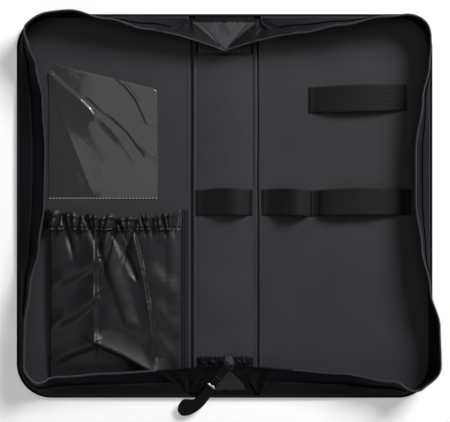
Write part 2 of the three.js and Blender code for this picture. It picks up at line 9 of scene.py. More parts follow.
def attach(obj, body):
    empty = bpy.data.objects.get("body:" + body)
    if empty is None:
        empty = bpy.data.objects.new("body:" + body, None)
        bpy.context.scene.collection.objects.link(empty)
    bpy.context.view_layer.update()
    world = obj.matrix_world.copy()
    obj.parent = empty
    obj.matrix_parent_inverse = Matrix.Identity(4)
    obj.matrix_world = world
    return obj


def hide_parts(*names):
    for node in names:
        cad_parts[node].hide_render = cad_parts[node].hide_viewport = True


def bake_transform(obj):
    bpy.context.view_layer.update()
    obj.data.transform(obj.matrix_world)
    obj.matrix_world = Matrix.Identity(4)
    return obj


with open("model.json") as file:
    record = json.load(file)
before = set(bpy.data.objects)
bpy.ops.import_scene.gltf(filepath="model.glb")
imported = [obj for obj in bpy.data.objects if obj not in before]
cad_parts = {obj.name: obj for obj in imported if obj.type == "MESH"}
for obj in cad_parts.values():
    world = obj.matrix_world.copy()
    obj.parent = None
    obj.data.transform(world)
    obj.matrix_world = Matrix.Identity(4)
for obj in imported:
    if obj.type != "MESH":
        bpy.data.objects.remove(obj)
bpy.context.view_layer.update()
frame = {"nodes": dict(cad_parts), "record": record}
nodes = frame["nodes"]
mm = 0.001

# the case's own sizes in mm, as in the part's source, but the wall's cloth is 5 mm lower, as in the photo
caseSizes = {
    "length": 467, "lidWidth": 213, "spineWidth": 80, "cornerRadius": 42,
    "coverThick": 1.2, "boardThick": 3, "liningThick": 0.8, "boardFoldGap": 4.2,
    "seamGap": 0.3, "pipingDiameter": 3.2, "pipingGap": 0.3, "rimGap": 0.9,
    "wallThick": 1.4, "wallClothHeight": 17, "tapeOverlap": 4, "tapeThick": 0.9, "tapeGap": 0.6,
    "coilWidth": 2, "coilThick": 2.6, "mitreGap": 6, "endLean": 32, "spineLiningEndInset": 49,
    "foldClothThick": 0.7, "tapeEndWidth": 64, "tapeEndLength": 13,
}
coverTop = caseSizes["coverThick"]
boardTop = coverTop + caseSizes["boardThick"]
liningTop = boardTop + caseSizes["liningThick"]
foldX = caseSizes["spineWidth"] / 2
foldZ = coverTop
halfLength = caseSizes["length"] / 2
outerX = foldX + caseSizes["lidWidth"]
layerInset = caseSizes["pipingDiameter"] + caseSizes["pipingGap"]
wallInset = layerInset + caseSizes["wallThick"]
wallHeight = foldX + foldZ - liningTop - caseSizes["rimGap"]
straightEnd = caseSizes["lidWidth"] - caseSizes["cornerRadius"]
cornerRun = math.pi / 2 * caseSizes["cornerRadius"]
sideRun = caseSizes["length"] - 2 * caseSizes["cornerRadius"]
edgeRun = 2 * (straightEnd + cornerRun) + sideRun

# how far each rim leans in, in mm (out where negative), read off the photo: pairs of a place along the
# lid's edge, from the far end of the fold, and the lean; the last place stands for the whole run
leans = {
    -1: [(0, 32), (52, 17), (101, 4.5), (144, -6), (204, 0.5), (237, 13), (262, 22), (301, 29), (362, 32),
         (425, 31), (479, 25), (528, 15), (574, 9), (621, 8), (654, 11), (699, 23), (760, 27), (820, 30),
         (858, 32)],
    1: [(0, 31), (51, 21), (100, 12), (149, 2), (204, -4), (237, 1), (262, 3), (301, 11), (362, 19),
        (425, 19), (479, 12), (528, 2), (574, -10), (621, -11.5), (654, -1), (699, 18), (760, 27), (820, 31),
        (858, 32)],
}
lidWord = {-1: "left", 1: "right"}


# a colour written as sRGB hex, turned to the linear values that shaders take
def hexColour(text, alpha=1.0):
    values = [int(text[i:i + 2], 16) / 255 for i in (1, 3, 5)]
    linear = [v / 12.92 if v <= 0.04045 else ((v + 0.055) / 1.055) ** 2.4 for v in values]
    return (*linear, alpha)


# adds one shader node with its settings and its inputs, each a value, an output or a node's first output
def addNode(tree, kind, inputs=None, **settings):
    made = tree.nodes.new(kind)
    for key, value in settings.items():
        setattr(made, key, value)
    for key, value in (inputs or {}).items():
        if isinstance(value, bpy.types.Node):
            value = value.outputs[0]
        if isinstance(value, bpy.types.NodeSocket):
            tree.links.new(value, made.inputs[key])
        else:
            made.inputs[key].default_value = value
    return made


def smooth(t):
    t = min(1.0, max(0.0, t))
    return t * t * (3 - 2 * t)


def mix(a, b, t):
    return a + (b - a) * t


# soft random swell between -1 and 1, the same in every run
def swell(x, y, z=0.0, scale=1.0):
    return noise.noise(Vector((x / scale, y / scale, z)))


# reads a value from pairs of place and value, eased from one to the next
def readAlong(pairs, distance):
    k = 0
    while k < len(pairs) - 2 and distance > pairs[k + 1][0]:
        k += 1
    (fromAt, fromValue), (toAt, toValue) = pairs[k], pairs[k + 1]
    return mix(fromValue, toValue, smooth((distance - fromAt) / (toAt - fromAt)))


# makes a mesh object from points in mm, with uv in mm as well so that patterns keep their real size
def makeMesh(name, points, faces, material, uvs=None):
    mesh = bpy.data.meshes.new(name)
    mesh.from_pydata([(x * mm, y * mm, z * mm) for x, y, z in points], [], faces)
    if uvs:
        layer = mesh.uv_layers.new(name="cloth")
        for loop in mesh.loops:
            u, v = uvs[loop.vertex_index]
            layer.data[loop.index].uv = (u, v)
    mesh.polygons.foreach_set("use_smooth", [True] * len(mesh.polygons))
    mesh.materials.append(material)
    made = bpy.data.objects.new(name, mesh)
    bpy.context.scene.collection.objects.link(made)
    return made


# applies modifiers, each given as (kind, settings), and leaves a plain mesh
def applyModifiers(piece, *steps):
    for kind, settings in steps:
        modifier = piece.modifiers.new(kind.lower(), kind)
        for key, value in settings.items():
            setattr(modifier, key, value)
    graph = bpy.context.evaluated_depsgraph_get()
    mesh = bpy.data.meshes.new_from_object(piece.evaluated_get(graph))
    piece.modifiers.clear()
    old = piece.data
    piece.data = mesh
    bpy.data.meshes.remove(old)
    return piece


# rides and replaces a finished piece in one go
def settle(piece, body, slotName, *replaced):
    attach(piece, body)
    if replaced:
        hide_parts(*replaced)
    return piece


# materials: patterns are laid in mm, on the cloth's own uv or on the piece's place
def startMaterial(name, look):
    material = bpy.data.materials.new(name)
    material.use_nodes = True
    tree = material.node_tree
    tree.nodes.clear()
    if look.get("laid") == "uv":
        place = addNode(tree, "ShaderNodeUVMap", uv_map="cloth").outputs["UV"]
        size = 1.0
    else:
        place = addNode(tree, "ShaderNodeTexCoord").outputs["Object"]
        size = 1 / mm
    turned = addNode(tree, "ShaderNodeMapping", {"Vector": place, "Scale": (size, size, size),
                                                 "Rotation": (0, 0, math.radians(look.get("turn", 0)))})
    return material, tree, turned.outputs["Vector"]


# over and under threads of a plain weave: height swings at each thread's spacing
def weaveHeight(tree, place, across, along):
    parts = addNode(tree, "ShaderNodeSeparateXYZ", {0: place})
    waves = []
    for socket, pitch in ((parts.outputs[0], across), (parts.outputs[1], along)):
        phase = addNode(tree, "ShaderNodeMath", {0: socket, 1: math.pi / pitch}, operation="MULTIPLY")
        waves.append(addNode(tree, "ShaderNodeMath", {0: phase}, operation="SINE"))
    return addNode(tree, "ShaderNodeMath", {0: waves[0], 1: waves[1]}, operation="MULTIPLY")


# ridges along one direction, such as the ribs of elastic
def ribHeight(tree, place, pitch, channel=1):
    parts = addNode(tree, "ShaderNodeSeparateXYZ", {0: place})
    phase = addNode(tree, "ShaderNodeMath", {0: parts.outputs[channel], 1: 2 * math.pi / pitch},
                    operation="MULTIPLY")
    return addNode(tree, "ShaderNodeMath", {0: phase}, operation="SINE")


# fine pebbled grain of a coated or tanned skin
def grainHeight(tree, place, grain):
    return addNode(tree, "ShaderNodeTexVoronoi", {"Vector": place, "Scale": 1 / grain, "Randomness": 1.0},
                   feature="SMOOTH_F1")


# slow patches, or a fine speckle: size is in mm
def noiseValue(tree, place, size, detail=2.0):
    made = addNode(tree, "ShaderNodeTexNoise", {"Vector": place, "Scale": 1 / size, "Detail": detail,
                                                "Roughness": 0.55})
    return made.outputs["Fac"]


# one finish: two close tones mixed by noise and pattern, roughness that drifts, and a bump in mm
def finishMaterial(name, look):
    material, tree, place = startMaterial(name, look)
    kind = look["pattern"]
    if kind == "weave":
        height = weaveHeight(tree, place, look["pitch"], look.get("pitchAlong", look["pitch"]))
    elif kind == "rib":
        height = ribHeight(tree, place, look["pitch"], look.get("channel", 1))
    elif kind == "grain":
        height = grainHeight(tree, place, look["pitch"])
    else:
        height = noiseValue(tree, place, look["pitch"], detail=4.0)
    patches = noiseValue(tree, place, look.get("patch", 30.0))
    share = addNode(tree, "ShaderNodeMath", {0: height, 1: look.get("patternTone", 0.2), 2: patches},
                    operation="MULTIPLY_ADD")
    tones = addNode(tree, "ShaderNodeMix", {"Factor": share, 6: hexColour(look["dark"]),
                                            7: hexColour(look["light"])}, data_type="RGBA")
    rough = addNode(tree, "ShaderNodeMapRange", {"Value": patches, "From Min": 0.3, "From Max": 0.7,
                                                 "To Min": look["roughness"] - look.get("drift", 0.04),
                                                 "To Max": look["roughness"] + look.get("drift", 0.04)})
    bump = addNode(tree, "ShaderNodeBump", {"Height": height, "Distance": look["depth"] * mm,
                                            "Strength": 1.0})
    inputs = {"Base Color": tones.outputs[2], "Roughness": rough, "Normal": bump,
              "Metallic": look.get("metallic", 0.0)}
    if not look.get("metallic"):
        inputs["Specular IOR Level"] = look.get("gloss", 0.35)
        inputs["IOR"] = 1.5
    for key, socket in (("sheen", "Sheen Weight"), ("sheenRoughness", "Sheen Roughness"),
                        ("coat", "Coat Weight"), ("coatRoughness", "Coat Roughness"),
                        ("anisotropic", "Anisotropic")):
        if key in look:
            inputs[socket] = look[key]
    surface = addNode(tree, "ShaderNodeBsdfPrincipled", inputs)
    addNode(tree, "ShaderNodeOutputMaterial", {"Surface": surface})
    return material


finishes = {
    # black nylon oxford, woven: matt, with a fine square weave (0.5 mm threads, drawn at 1.2 to show)
    "blackNylonOxford": {"laid": "uv", "pattern": "weave", "pitch": 1.2, "depth": 0.16, "dark": "#131317",
                         "light": "#222026", "roughness": 0.85, "patternTone": 0.35, "patch": 22,
                         "gloss": 0.07},
    # the coated side of that nylon, which shows on the gussets: grey and smoother, so it shines a little
    "gussetNylon": {"laid": "uv", "pattern": "weave", "pitch": 1.0, "depth": 0.08, "dark": "#25252a",
                    "light": "#303035", "roughness": 0.5, "patternTone": 0.3, "patch": 18},
    # polyurethane coated cloth, calendered: smooth and faintly waxy, with a very fine pebble
    "coatedLiningCloth": {"laid": "uv", "pattern": "grain", "pitch": 0.9, "depth": 0.05, "dark": "#2b2b2f",
                          "light": "#343439", "roughness": 0.5, "patternTone": 0.25, "patch": 60,
                          "drift": 0.03},
    # the same cloth on the spine, laid the other way of the roll and a little smoother, so it shines a little
    # more; its colour is a shade lighter as painted light
    "spineLiningPaintedLighter": {"laid": "uv", "pattern": "grain", "pitch": 0.9, "depth": 0.05, "dark": "#2d2d32",
                         "light": "#37373d", "roughness": 0.46, "patternTone": 0.25, "patch": 60,
                         "drift": 0.03, "turn": 90},
    # and where it is pulled round a fold: stretched smooth, so it shines along the edge
    "foldedLiningCloth": {"laid": "uv", "pattern": "grain", "pitch": 0.9, "depth": 0.03, "dark": "#2c2c31",
                          "light": "#35353a", "roughness": 0.42, "patternTone": 0.2, "patch": 40,
                          "drift": 0.03},
    # pressed fibre board, raw: dull and slightly mottled
    "pressedFibreBoard": {"pattern": "noise", "pitch": 3.0, "depth": 0.08, "dark": "#0e0e0f",
                          "light": "#161617", "roughness": 0.9},
    # grosgrain binding, folded and stitched: fine cross ribs that catch a soft line of light
    "grosgrainBinding": {"laid": "uv", "pattern": "rib", "pitch": 1.4, "channel": 0, "depth": 0.14,
                         "dark": "#0c0c0e", "light": "#17171a", "roughness": 0.66, "patternTone": 0.4,
                         "gloss": 0.2},
    # woven polyester zip tape: tight herringbone, darker and flatter than the nylon
    "wovenZipTape": {"laid": "uv", "pattern": "weave", "pitch": 0.9, "pitchAlong": 2.2, "depth": 0.12,
                     "dark": "#0e0d10", "light": "#19161c", "roughness": 0.85, "patternTone": 0.35,
                     "gloss": 0.1},
    # nylon monofilament coil, moulded: hard little turns with a dull shine; its light grey colour is a
    # painted highlight along the rim
    "nylonCoilPaintedHighlight": {"laid": "uv", "pattern": "noise", "pitch": 1.5, "depth": 0.02, "dark": "#34343a",
                      "light": "#4c4c52", "roughness": 0.38, "patch": 12},
    # knitted elastic: close ribs along its length, matt black with a slight bloom on the bends
    "ribbedElastic": {"laid": "uv", "pattern": "rib", "pitch": 1.6, "channel": 1, "depth": 0.08,
                      "dark": "#08080a", "light": "#131315", "roughness": 0.74, "patternTone": 0.1,
                      "sheen": 0.1, "sheenRoughness": 0.45, "patch": 16, "gloss": 0.25},
    # satin nylon, thin and crisp: long soft highlights along each fold
    "satinNylon": {"laid": "uv", "pattern": "weave", "pitch": 0.8, "depth": 0.04, "dark": "#18181b",
                   "light": "#232327", "roughness": 0.42, "patternTone": 0.2, "sheen": 0.12,
                   "sheenRoughness": 0.35, "patch": 26, "drift": 0.05, "gloss": 0.4},
    # the same nylon cloth left loose and crushed at the corners: black, darker than the wall's cloth as
    # painted shade, with dull lights on its creases
    "crushedNylonPaintedShade": {"laid": "uv", "pattern": "weave", "pitch": 1.0, "depth": 0.08, "dark": "#060608",
                     "light": "#101014", "roughness": 0.5, "patternTone": 0.2, "patch": 14, "gloss": 0.12},
    # spun polyester thread, black: tiny raised strokes with a soft shine
    "blackThread": {"pattern": "noise", "pitch": 0.8, "depth": 0.04, "dark": "#101012", "light": "#262629",
                    "roughness": 0.5},
    # the same thread in white, which marks the window's seam
    "whiteThread": {"pattern": "noise", "pitch": 0.8, "depth": 0.04, "dark": "#c4c4c0", "light": "#dededa",
                    "roughness": 0.55},
    # grey thread of the pocket hem, between the two
    "greyThread": {"pattern": "noise", "pitch": 0.8, "depth": 0.04, "dark": "#4b4b50", "light": "#626268",
                   "roughness": 0.5},
    # zinc slider, die cast and enamelled grey: smooth and softly glossy with dulled edges
    "greyEnamelledZinc": {"pattern": "noise", "pitch": 2.0, "depth": 0.03, "dark": "#303033",
                          "light": "#3b3b3e", "roughness": 0.36, "coat": 0.1, "coatRoughness": 0.25},
    # steel wire and link, black enamelled
    "blackEnamelledSteel": {"pattern": "noise", "pitch": 2.0, "depth": 0.03, "dark": "#09090a",
                            "light": "#101011", "roughness": 0.34, "coat": 0.02, "coatRoughness": 0.2,
                            "gloss": 0.08},
    # nickel plated band, rolled: bright, with fine lines along the rolling
    "nickelPlatedBand": {"pattern": "rib", "pitch": 0.5, "channel": 0, "depth": 0.01, "dark": "#b9b9b6",
                         "light": "#d8d8d6", "roughness": 0.24, "metallic": 1.0, "anisotropic": 0.3},
    # vegetable tanned leather, dyed black and creased at the edge: pebbled, with a low polish
    "blackTannedLeather": {"laid": "uv", "pattern": "grain", "pitch": 0.9, "depth": 0.09, "dark": "#040405",
                           "light": "#0a0a0b", "roughness": 0.46, "patternTone": 0.5, "patch": 12,
                           "gloss": 0.15},
}
# the nylon oxford where a cloth has no uv of its own, or lies crumpled: its weave is laid by place
finishes["blackNylonPlain"] = {**finishes["blackNylonOxford"], "laid": "place"}
surfaces = {name: finishMaterial(name, look) for name, look in finishes.items()}


# calendered vinyl: clear with a faint grey haze, very glossy, so the creases show by what they mirror;
# a slow ripple (sizes in mm) bends the mirrored lamps a little
vinylLook = {"tint": "#d4d4d6", "haze": "#9a9a9d", "hazeShare": 0.10, "roughness": 0.05, "ior": 1.53,
             "ripple": 26, "rippleDetail": 3.0, "rippleDepth": 0.35, "rippleStrength": 0.6}


def vinylMaterial(name, look):
    material, tree, place = startMaterial(name, {"laid": "uv"})
    ripple = noiseValue(tree, place, look["ripple"], look["rippleDetail"])
    bump = addNode(tree, "ShaderNodeBump", {"Height": ripple, "Distance": look["rippleDepth"] * mm,
                                            "Strength": look["rippleStrength"]})
    clear = addNode(tree, "ShaderNodeBsdfTransparent", {"Color": hexColour(look["tint"])})
    haze = addNode(tree, "ShaderNodeBsdfDiffuse", {"Color": hexColour(look["haze"])})
    body = addNode(tree, "ShaderNodeMixShader", {0: look["hazeShare"], 1: clear, 2: haze})
    gloss = addNode(tree, "ShaderNodeBsdfGlossy", {"Color": (1, 1, 1, 1), "Roughness": look["roughness"],
                                                   "Normal": bump})
    mirror = addNode(tree, "ShaderNodeFresnel", {"IOR": look["ior"], "Normal": bump})
    whole = addNode(tree, "ShaderNodeMixShader", {0: mirror, 1: body, 2: gloss})
    addNode(tree, "ShaderNodeOutputMaterial", {"Surface": whole})
    return material


surfaces["clearVinyl"] = vinylMaterial("clearVinyl", vinylLook)
print("materials:", len(surfaces))


# stage, in metres: a pale floor that stays white to the camera and keeps the case's shadow
stageSizes = {"floorHalf": 3.0, "floorDrop": 0.0003, "floorColour": "#efefef", "whiteLift": 0.32}


def makeStage(sizes):
    half = sizes["floorHalf"]
    corners = [(-half, -half), (half, -half), (half, half), (-half, half)]
    mesh = bpy.data.meshes.new("floor")
    mesh.from_pydata([(x, y, -sizes["floorDrop"]) for x, y in corners], [], [(0, 1, 2, 3)])
    floor = bpy.data.objects.new("floor", mesh)
    bpy.context.scene.collection.objects.link(floor)
    material = bpy.data.materials.new("paleStudioFloor")
    material.use_nodes = True
    tree = material.node_tree
    tree.nodes.clear()
    diffuse = addNode(tree, "ShaderNodeBsdfDiffuse", {"Color": hexColour(sizes["floorColour"])})
    glow = addNode(tree, "ShaderNodeEmission", {"Color": (1, 1, 1, 1), "Strength": sizes["whiteLift"]})
    none = addNode(tree, "ShaderNodeEmission", {"Color": (0, 0, 0, 1), "Strength": 0.0})
    rays = addNode(tree, "ShaderNodeLightPath")
    clear = addNode(tree, "ShaderNodeMath", {0: rays.outputs["Is Camera Ray"],
                                             1: rays.outputs["Is Transmission Ray"]}, operation="MAXIMUM")
    shiny = addNode(tree, "ShaderNodeMath", {0: clear, 1: rays.outputs["Is Glossy Ray"]}, operation="MAXIMUM")
    seen = addNode(tree, "ShaderNodeMixShader", {0: shiny, 1: none, 2: glow})
    both = addNode(tree, "ShaderNodeAddShader", {0: diffuse, 1: seen})
    addNode(tree, "ShaderNodeOutputMaterial", {"Surface": both})
    mesh.materials.append(material)


# the camera hangs straight above the open case; sizes in metres, the sensor's in mm
cameraSizes = {"height": 1.62, "middleX": 0.0005, "middleY": -0.0062, "seenWidth": 0.5475, "sensor": 36.0,
               "focusLevel": 0.003}


def makeCamera(sizes):
    data = bpy.data.cameras.new("camera")
    data.sensor_fit = "HORIZONTAL"
    data.sensor_width = sizes["sensor"]
    data.lens = sizes["sensor"] * (sizes["height"] - sizes["focusLevel"]) / sizes["seenWidth"]
    data.clip_end = 20
    camera = bpy.data.objects.new("camera", data)
    camera.location = (sizes["middleX"], sizes["middleY"], sizes["height"])
    bpy.context.scene.collection.objects.link(camera)
    bpy.context.scene.camera = camera


# plain soft studio light: two wide panels overhead, whose edges cross the window's film, a key lamp low
# in the upper right that gives the walls their shade, and an even pale room
lightSizes = {
    "roomStrength": 0.06,
    "lamps": {
        "widePanel": {"place": (0.062, 0.336, 2.0), "size": 1.0, "turn": 19, "power": 2.05},
        "farPanel": {"place": (-0.02, 0.632, 2.0), "size": 1.0, "turn": 51.4, "power": 1.75},
        "keyLamp": {"place": (1.9, 1.9, 1.8), "size": 1.2, "power": 126.0},
        "fillLamp": {"place": (-0.9, -1.6, 1.6), "size": 1.4, "power": 6.0},
    },
}


def makeLamp(name, sizes):
    data = bpy.data.lights.new(name, "AREA")
    data.shape = "SQUARE"
    data.size = sizes["size"]
    data.energy = sizes["power"]
    lamp = bpy.data.objects.new(name, data)
    place = Vector(sizes["place"])
    lamp.location = place
    if "turn" in sizes:
        lamp.rotation_euler = (0, 0, math.radians(sizes["turn"]))
    else:
        lamp.rotation_euler = (-place).to_track_quat("-Z", "Y").to_euler()
    bpy.context.scene.collection.objects.link(lamp)


def makeRoom(sizes):
    world = bpy.data.worlds.new("studio")
    bpy.context.scene.world = world
    world.use_nodes = True
    tree = world.node_tree
    tree.nodes.clear()
    soft = addNode(tree, "ShaderNodeBackground", {"Color": (1, 1, 1, 1), "Strength": sizes["roomStrength"]})
    white = addNode(tree, "ShaderNodeBackground", {"Color": (1, 1, 1, 1), "Strength": 1.0})
    # the wall behind is white to the eye and through the film; gloss sees the dim room and its panels,
    # because a white sky in the film and the black cloths would be more light on the case
    rays = addNode(tree, "ShaderNodeLightPath")
    clear = addNode(tree, "ShaderNodeMath", {0: rays.outputs["Is Camera Ray"],
                                             1: rays.outputs["Is Transmission Ray"]}, operation="MAXIMUM")
    mixed = addNode(tree, "ShaderNodeMixShader", {0: clear, 1: soft, 2: white})
    addNode(tree, "ShaderNodeOutputWorld", {"Surface": mixed})
    for name, lamp in sizes["lamps"].items():
        makeLamp(name, lamp)


bpy.context.scene.view_settings.view_transform = "Standard"
makeCamera(cameraSizes)
makeStage(stageSizes)
makeRoom(lightSizes)
print("stage: camera, floor and lamps")


# a closed sheet through a grid of points: rows of Vectors in mm, thick through its own normals, with a
# rounded edge; its uv is the length along the cloth, so a pattern follows the folds at its real size
def clothSheet(name, grid, thick, material, edgeRound=0.4, thickAt=None):
    rows, count = len(grid), len(grid[0])
    p = np.array([[tuple(q) for q in row] for row in grid])
    along = np.gradient(p, axis=0)
    across = np.gradient(p, axis=1)
    normal = np.cross(across, along)
    size = np.linalg.norm(normal, axis=2, keepdims=True)
    normal = normal / np.maximum(size, 1e-9)
    half = np.full((rows, count, 1), thick / 2)
    if thickAt is not None:
        half = half * np.array(thickAt).reshape(rows, count, 1)
    u = np.zeros((rows, count))
    v = np.zeros((rows, count))
    u[:, 1:] = np.cumsum(np.linalg.norm(np.diff(p, axis=1), axis=2), axis=1)
    u -= u[:, count // 2:count // 2 + 1]
    v[1:, :] = np.cumsum(np.linalg.norm(np.diff(p, axis=0), axis=2), axis=0)
    v -= v[rows // 2:rows // 2 + 1, :]
    upper = (p + normal * half).reshape(-1, 3)
    lower = (p - normal * half).reshape(-1, 3)
    points = [tuple(q) for q in upper] + [tuple(q) for q in lower]
    flat = list(zip(u.ravel(), v.ravel()))
    uvs = flat + flat
    faces = []
    total = rows * count
    for j in range(rows - 1):
        for i in range(count - 1):
            a = j * count + i
            faces.append((a, a + 1, a + 1 + count, a + count))
            b = a + total
            faces.append((b, b + count, b + 1 + count, b + 1))
    rim = [(0, i) for i in range(count)] + [(j, count - 1) for j in range(1, rows)]
    rim += [(rows - 1, i) for i in range(count - 2, -1, -1)] + [(j, 0) for j in range(rows - 2, 0, -1)]
    base = len(points)
    for j, i in rim:
        out = np.zeros(3)
        for here, sign, way in ((i == 0, -1, across), (i == count - 1, 1, across), (j == 0, -1, along),
                                (j == rows - 1, 1, along)):
            if here:
                out += sign * way[j, i] / max(1e-9, np.linalg.norm(way[j, i]))
        points.append(tuple(p[j, i] + out * thick * edgeRound))
        uvs.append(flat[j * count + i])
    ring = len(rim)
    for k, (j, i) in enumerate(rim):
        j2, i2 = rim[(k + 1) % ring]
        a, b = j * count + i, j2 * count + i2
        m, m2 = base + k, base + (k + 1) % ring
        faces.append((b, a, m, m2))
        faces.append((m2, m, a + total, b + total))
    return makeMesh(name, points, faces, material, uvs)


# a grid of points from a function of two shares, u across and v along
def gridOf(across, along, pointAt):
    return [[Vector(pointAt(i / across, j / along)) for i in range(across + 1)] for j in range(along + 1)]


# a piece that lies across a fold, held by the spine at one side and a lid at the other: its place is baked
# into its mesh
def bendAtFold(piece, side, before, after):
    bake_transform(piece)


# the lid's edge and its standing wall: the same lines as the part's own
def edgePlace(side, distance):
    fromEnd = min(distance, edgeRun - distance)
    far = 1 if distance < edgeRun / 2 else -1
    radius = caseSizes["cornerRadius"]
    arcX, arcY = outerX - radius, halfLength - radius
    if fromEnd <= straightEnd:
        return side * (foldX + fromEnd), far * halfLength, 0.0, -far
    if fromEnd <= straightEnd + cornerRun:
        angle = math.pi / 2 - (fromEnd - straightEnd) / radius
        outX, outY = side * math.cos(angle), far * math.sin(angle)
        return side * arcX + radius * outX, far * arcY + radius * outY, -outX, -outY
    return side * outerX, arcY - (distance - straightEnd - cornerRun), -side, 0.0


# a point of a standing wall at a place along the edge: rise up its slope, and out through its cloth
def slopePoint(place, lean, floor, rise, out):
    x, y, inX, inY = place
    tip = lean / wallHeight
    stand = math.sqrt(1 - tip * tip)
    inward = wallInset + rise * tip - out * stand
    return x + inX * inward, y + inY * inward, max(floor, floor + rise * stand + out * tip)


# the edge's place at a distance along it, and how far the wall leans in there
def lidPlace(side, distance):
    pairs = leans[side]
    return edgePlace(side, distance), readAlong(pairs, distance / edgeRun * pairs[-1][0])


# how high a wall stands at a distance: near both folds it is cut on the slant
def slantLimit(distance):
    return min(distance, edgeRun - distance) - caseSizes["mitreGap"]


# walls: a strip of nylon, the zip's tape behind its upper part, and the coil along the rim; steps of the
# mesh, then the length and depth of the cloth's slow pleats and small creases
wallLook = {"step": 3.2, "slantStep": 1.2, "rows": 9, "tapeRows": 7, "tapeUnderCoil": 0.8, "edgeRound": 0.35,
            "pleatWave": 46, "pleatDepth": 1.1, "creaseWave": 11.0, "creaseDepth": 0.5, "innerUvShift": 60}


# marks along the edge, closer together where the wall is cut on the slant
def wallMarks():
    gap, step = caseSizes["mitreGap"], wallLook["slantStep"]
    reach = wallHeight + gap + 1
    near = [gap + step / 2 + i * step for i in range(int((reach - gap) / step))]
    count = round((edgeRun - 2 * reach) / wallLook["step"])
    middle = [reach + (edgeRun - 2 * reach) * i / count for i in range(count + 1)]
    return near + middle + [edgeRun - d for d in reversed(near)]


# how far the cloth swells out of its plane: slow waves and a few slanting creases, less near the seams
def wallSwell(side, distance, rise):
    seam = math.sin(math.pi * min(1.0, max(0.0, rise / wallHeight)))
    slow = swell(distance, rise * 2.5, 3.1 * side, wallLook["pleatWave"])
    slant = swell(distance + rise * 1.4, rise * 0.4, 7.7 * side, wallLook["creaseWave"])
    return seam * (wallLook["pleatDepth"] * slow + wallLook["creaseDepth"] * slant)


# a closed strip of the wall between two heights up its slope and two depths through it
def wallStrip(name, side, low, high, inner, outer, material, rows):
    marks = [d for d in wallMarks() if slantLimit(d) > low + 0.5]
    points, uvs, faces = [], [], []
    ring = 2 * (rows + 1)
    for distance in marks:
        place, lean = lidPlace(side, distance)
        share = min(1.0, (slantLimit(distance) - low) / (high - low))
        for face in (inner, outer):
            order = range(rows + 1) if face == inner else range(rows, -1, -1)
            for row in order:
                t = row / rows
                rise = low + (high - low) * share * t
                edge = wallLook["edgeRound"] if row in (0, rows) else 0.0
                depth = mix(face, (inner + outer) / 2, edge) + wallSwell(side, distance, rise)
                points.append(slopePoint(place, lean, liningTop, rise, depth))
                uvs.append((distance, rise if face == outer else rise + wallLook["innerUvShift"]))
    for k in range(len(marks) - 1):
        for i in range(ring):
            j = (i + 1) % ring
            a, b = k * ring + i, k * ring + j
            quad = (a, b, b + ring, a + ring)
            faces.append(quad if side < 0 else quad[::-1])
    last = (len(marks) - 1) * ring
    for base, flip in ((0, side > 0), (last, side < 0)):
        for i in range(rows):
            quad = (base + i, base + i + 1, base + ring - 2 - i, base + ring - 1 - i)
            faces.append(quad if flip else quad[::-1])
    return makeMesh(name, points, faces, material, uvs)


# the turns of the zip's coil: a long helix squashed to an oval, one strand along the rim
coilLook = {"pitch": 2.0, "wire": 0.62, "steps": 10, "sides": 5}


def wallCoil(name, side, low, high, inner, outer, material):
    start = caseSizes["mitreGap"] + high
    run = edgeRun - 2 * start
    turns = round(run / coilLook["pitch"])
    total = turns * coilLook["steps"]
    middle, half = (low + high) / 2, (high - low - coilLook["wire"]) / 2
    depth, halfDepth = (inner + outer) / 2, (outer - inner - coilLook["wire"]) / 2
    path = []
    for i in range(total + 1):
        distance = start + run * i / total
        place, lean = lidPlace(side, distance)
        turn = 2 * math.pi * i / coilLook["steps"]
        rise = middle + half * math.sin(turn)
        out = depth + halfDepth * math.cos(turn)
        path.append(Vector(slopePoint(place, lean, liningTop, rise, out)))
    return tubeMesh(name, path, coilLook["wire"], coilLook["sides"], material)


# a round tube through a list of points in mm, closed at both ends
def tubeMesh(name, path, radius, sides, material, radii=None):
    points, uvs, faces = [], [], []
    up = Vector((0, 0, 1))
    along = 0.0
    for i, point in enumerate(path):
        ahead = path[min(i + 1, len(path) - 1)] - path[max(i - 1, 0)]
        across = ahead.cross(up)
        if across.length < 1e-6:
            across = ahead.cross(Vector((1, 0, 0)))
        across.normalize()
        lift = across.cross(ahead).normalized()
        along += (path[i] - path[i - 1]).length if i else 0.0
        r = radii[i] if radii else radius
        for k in range(sides):
            angle = 2 * math.pi * k / sides
            points.append(tuple(point + across * (r * math.cos(angle)) + lift * (r * math.sin(angle))))
            uvs.append((along, r * angle))
    for i in range(len(path) - 1):
        for k in range(sides):
            a, b = i * sides + k, i * sides + (k + 1) % sides
            faces.append((a, b, b + sides, a + sides))
    faces.append(tuple(range(sides))[::-1])
    faces.append(tuple(range((len(path) - 1) * sides, len(path) * sides)))
    return makeMesh(name, points, faces, material, uvs)


# stitches: small thread capsules laid end to end along a path of points, with a gap between them; each
# is four rings, at these shares of its length, with their widths and lifts
stitchRings = ((0.0, 0.35, -0.2), (0.2, 1.0, 1.0), (0.8, 1.0, 1.0), (1.0, 0.35, -0.2))
stitchSides = 6


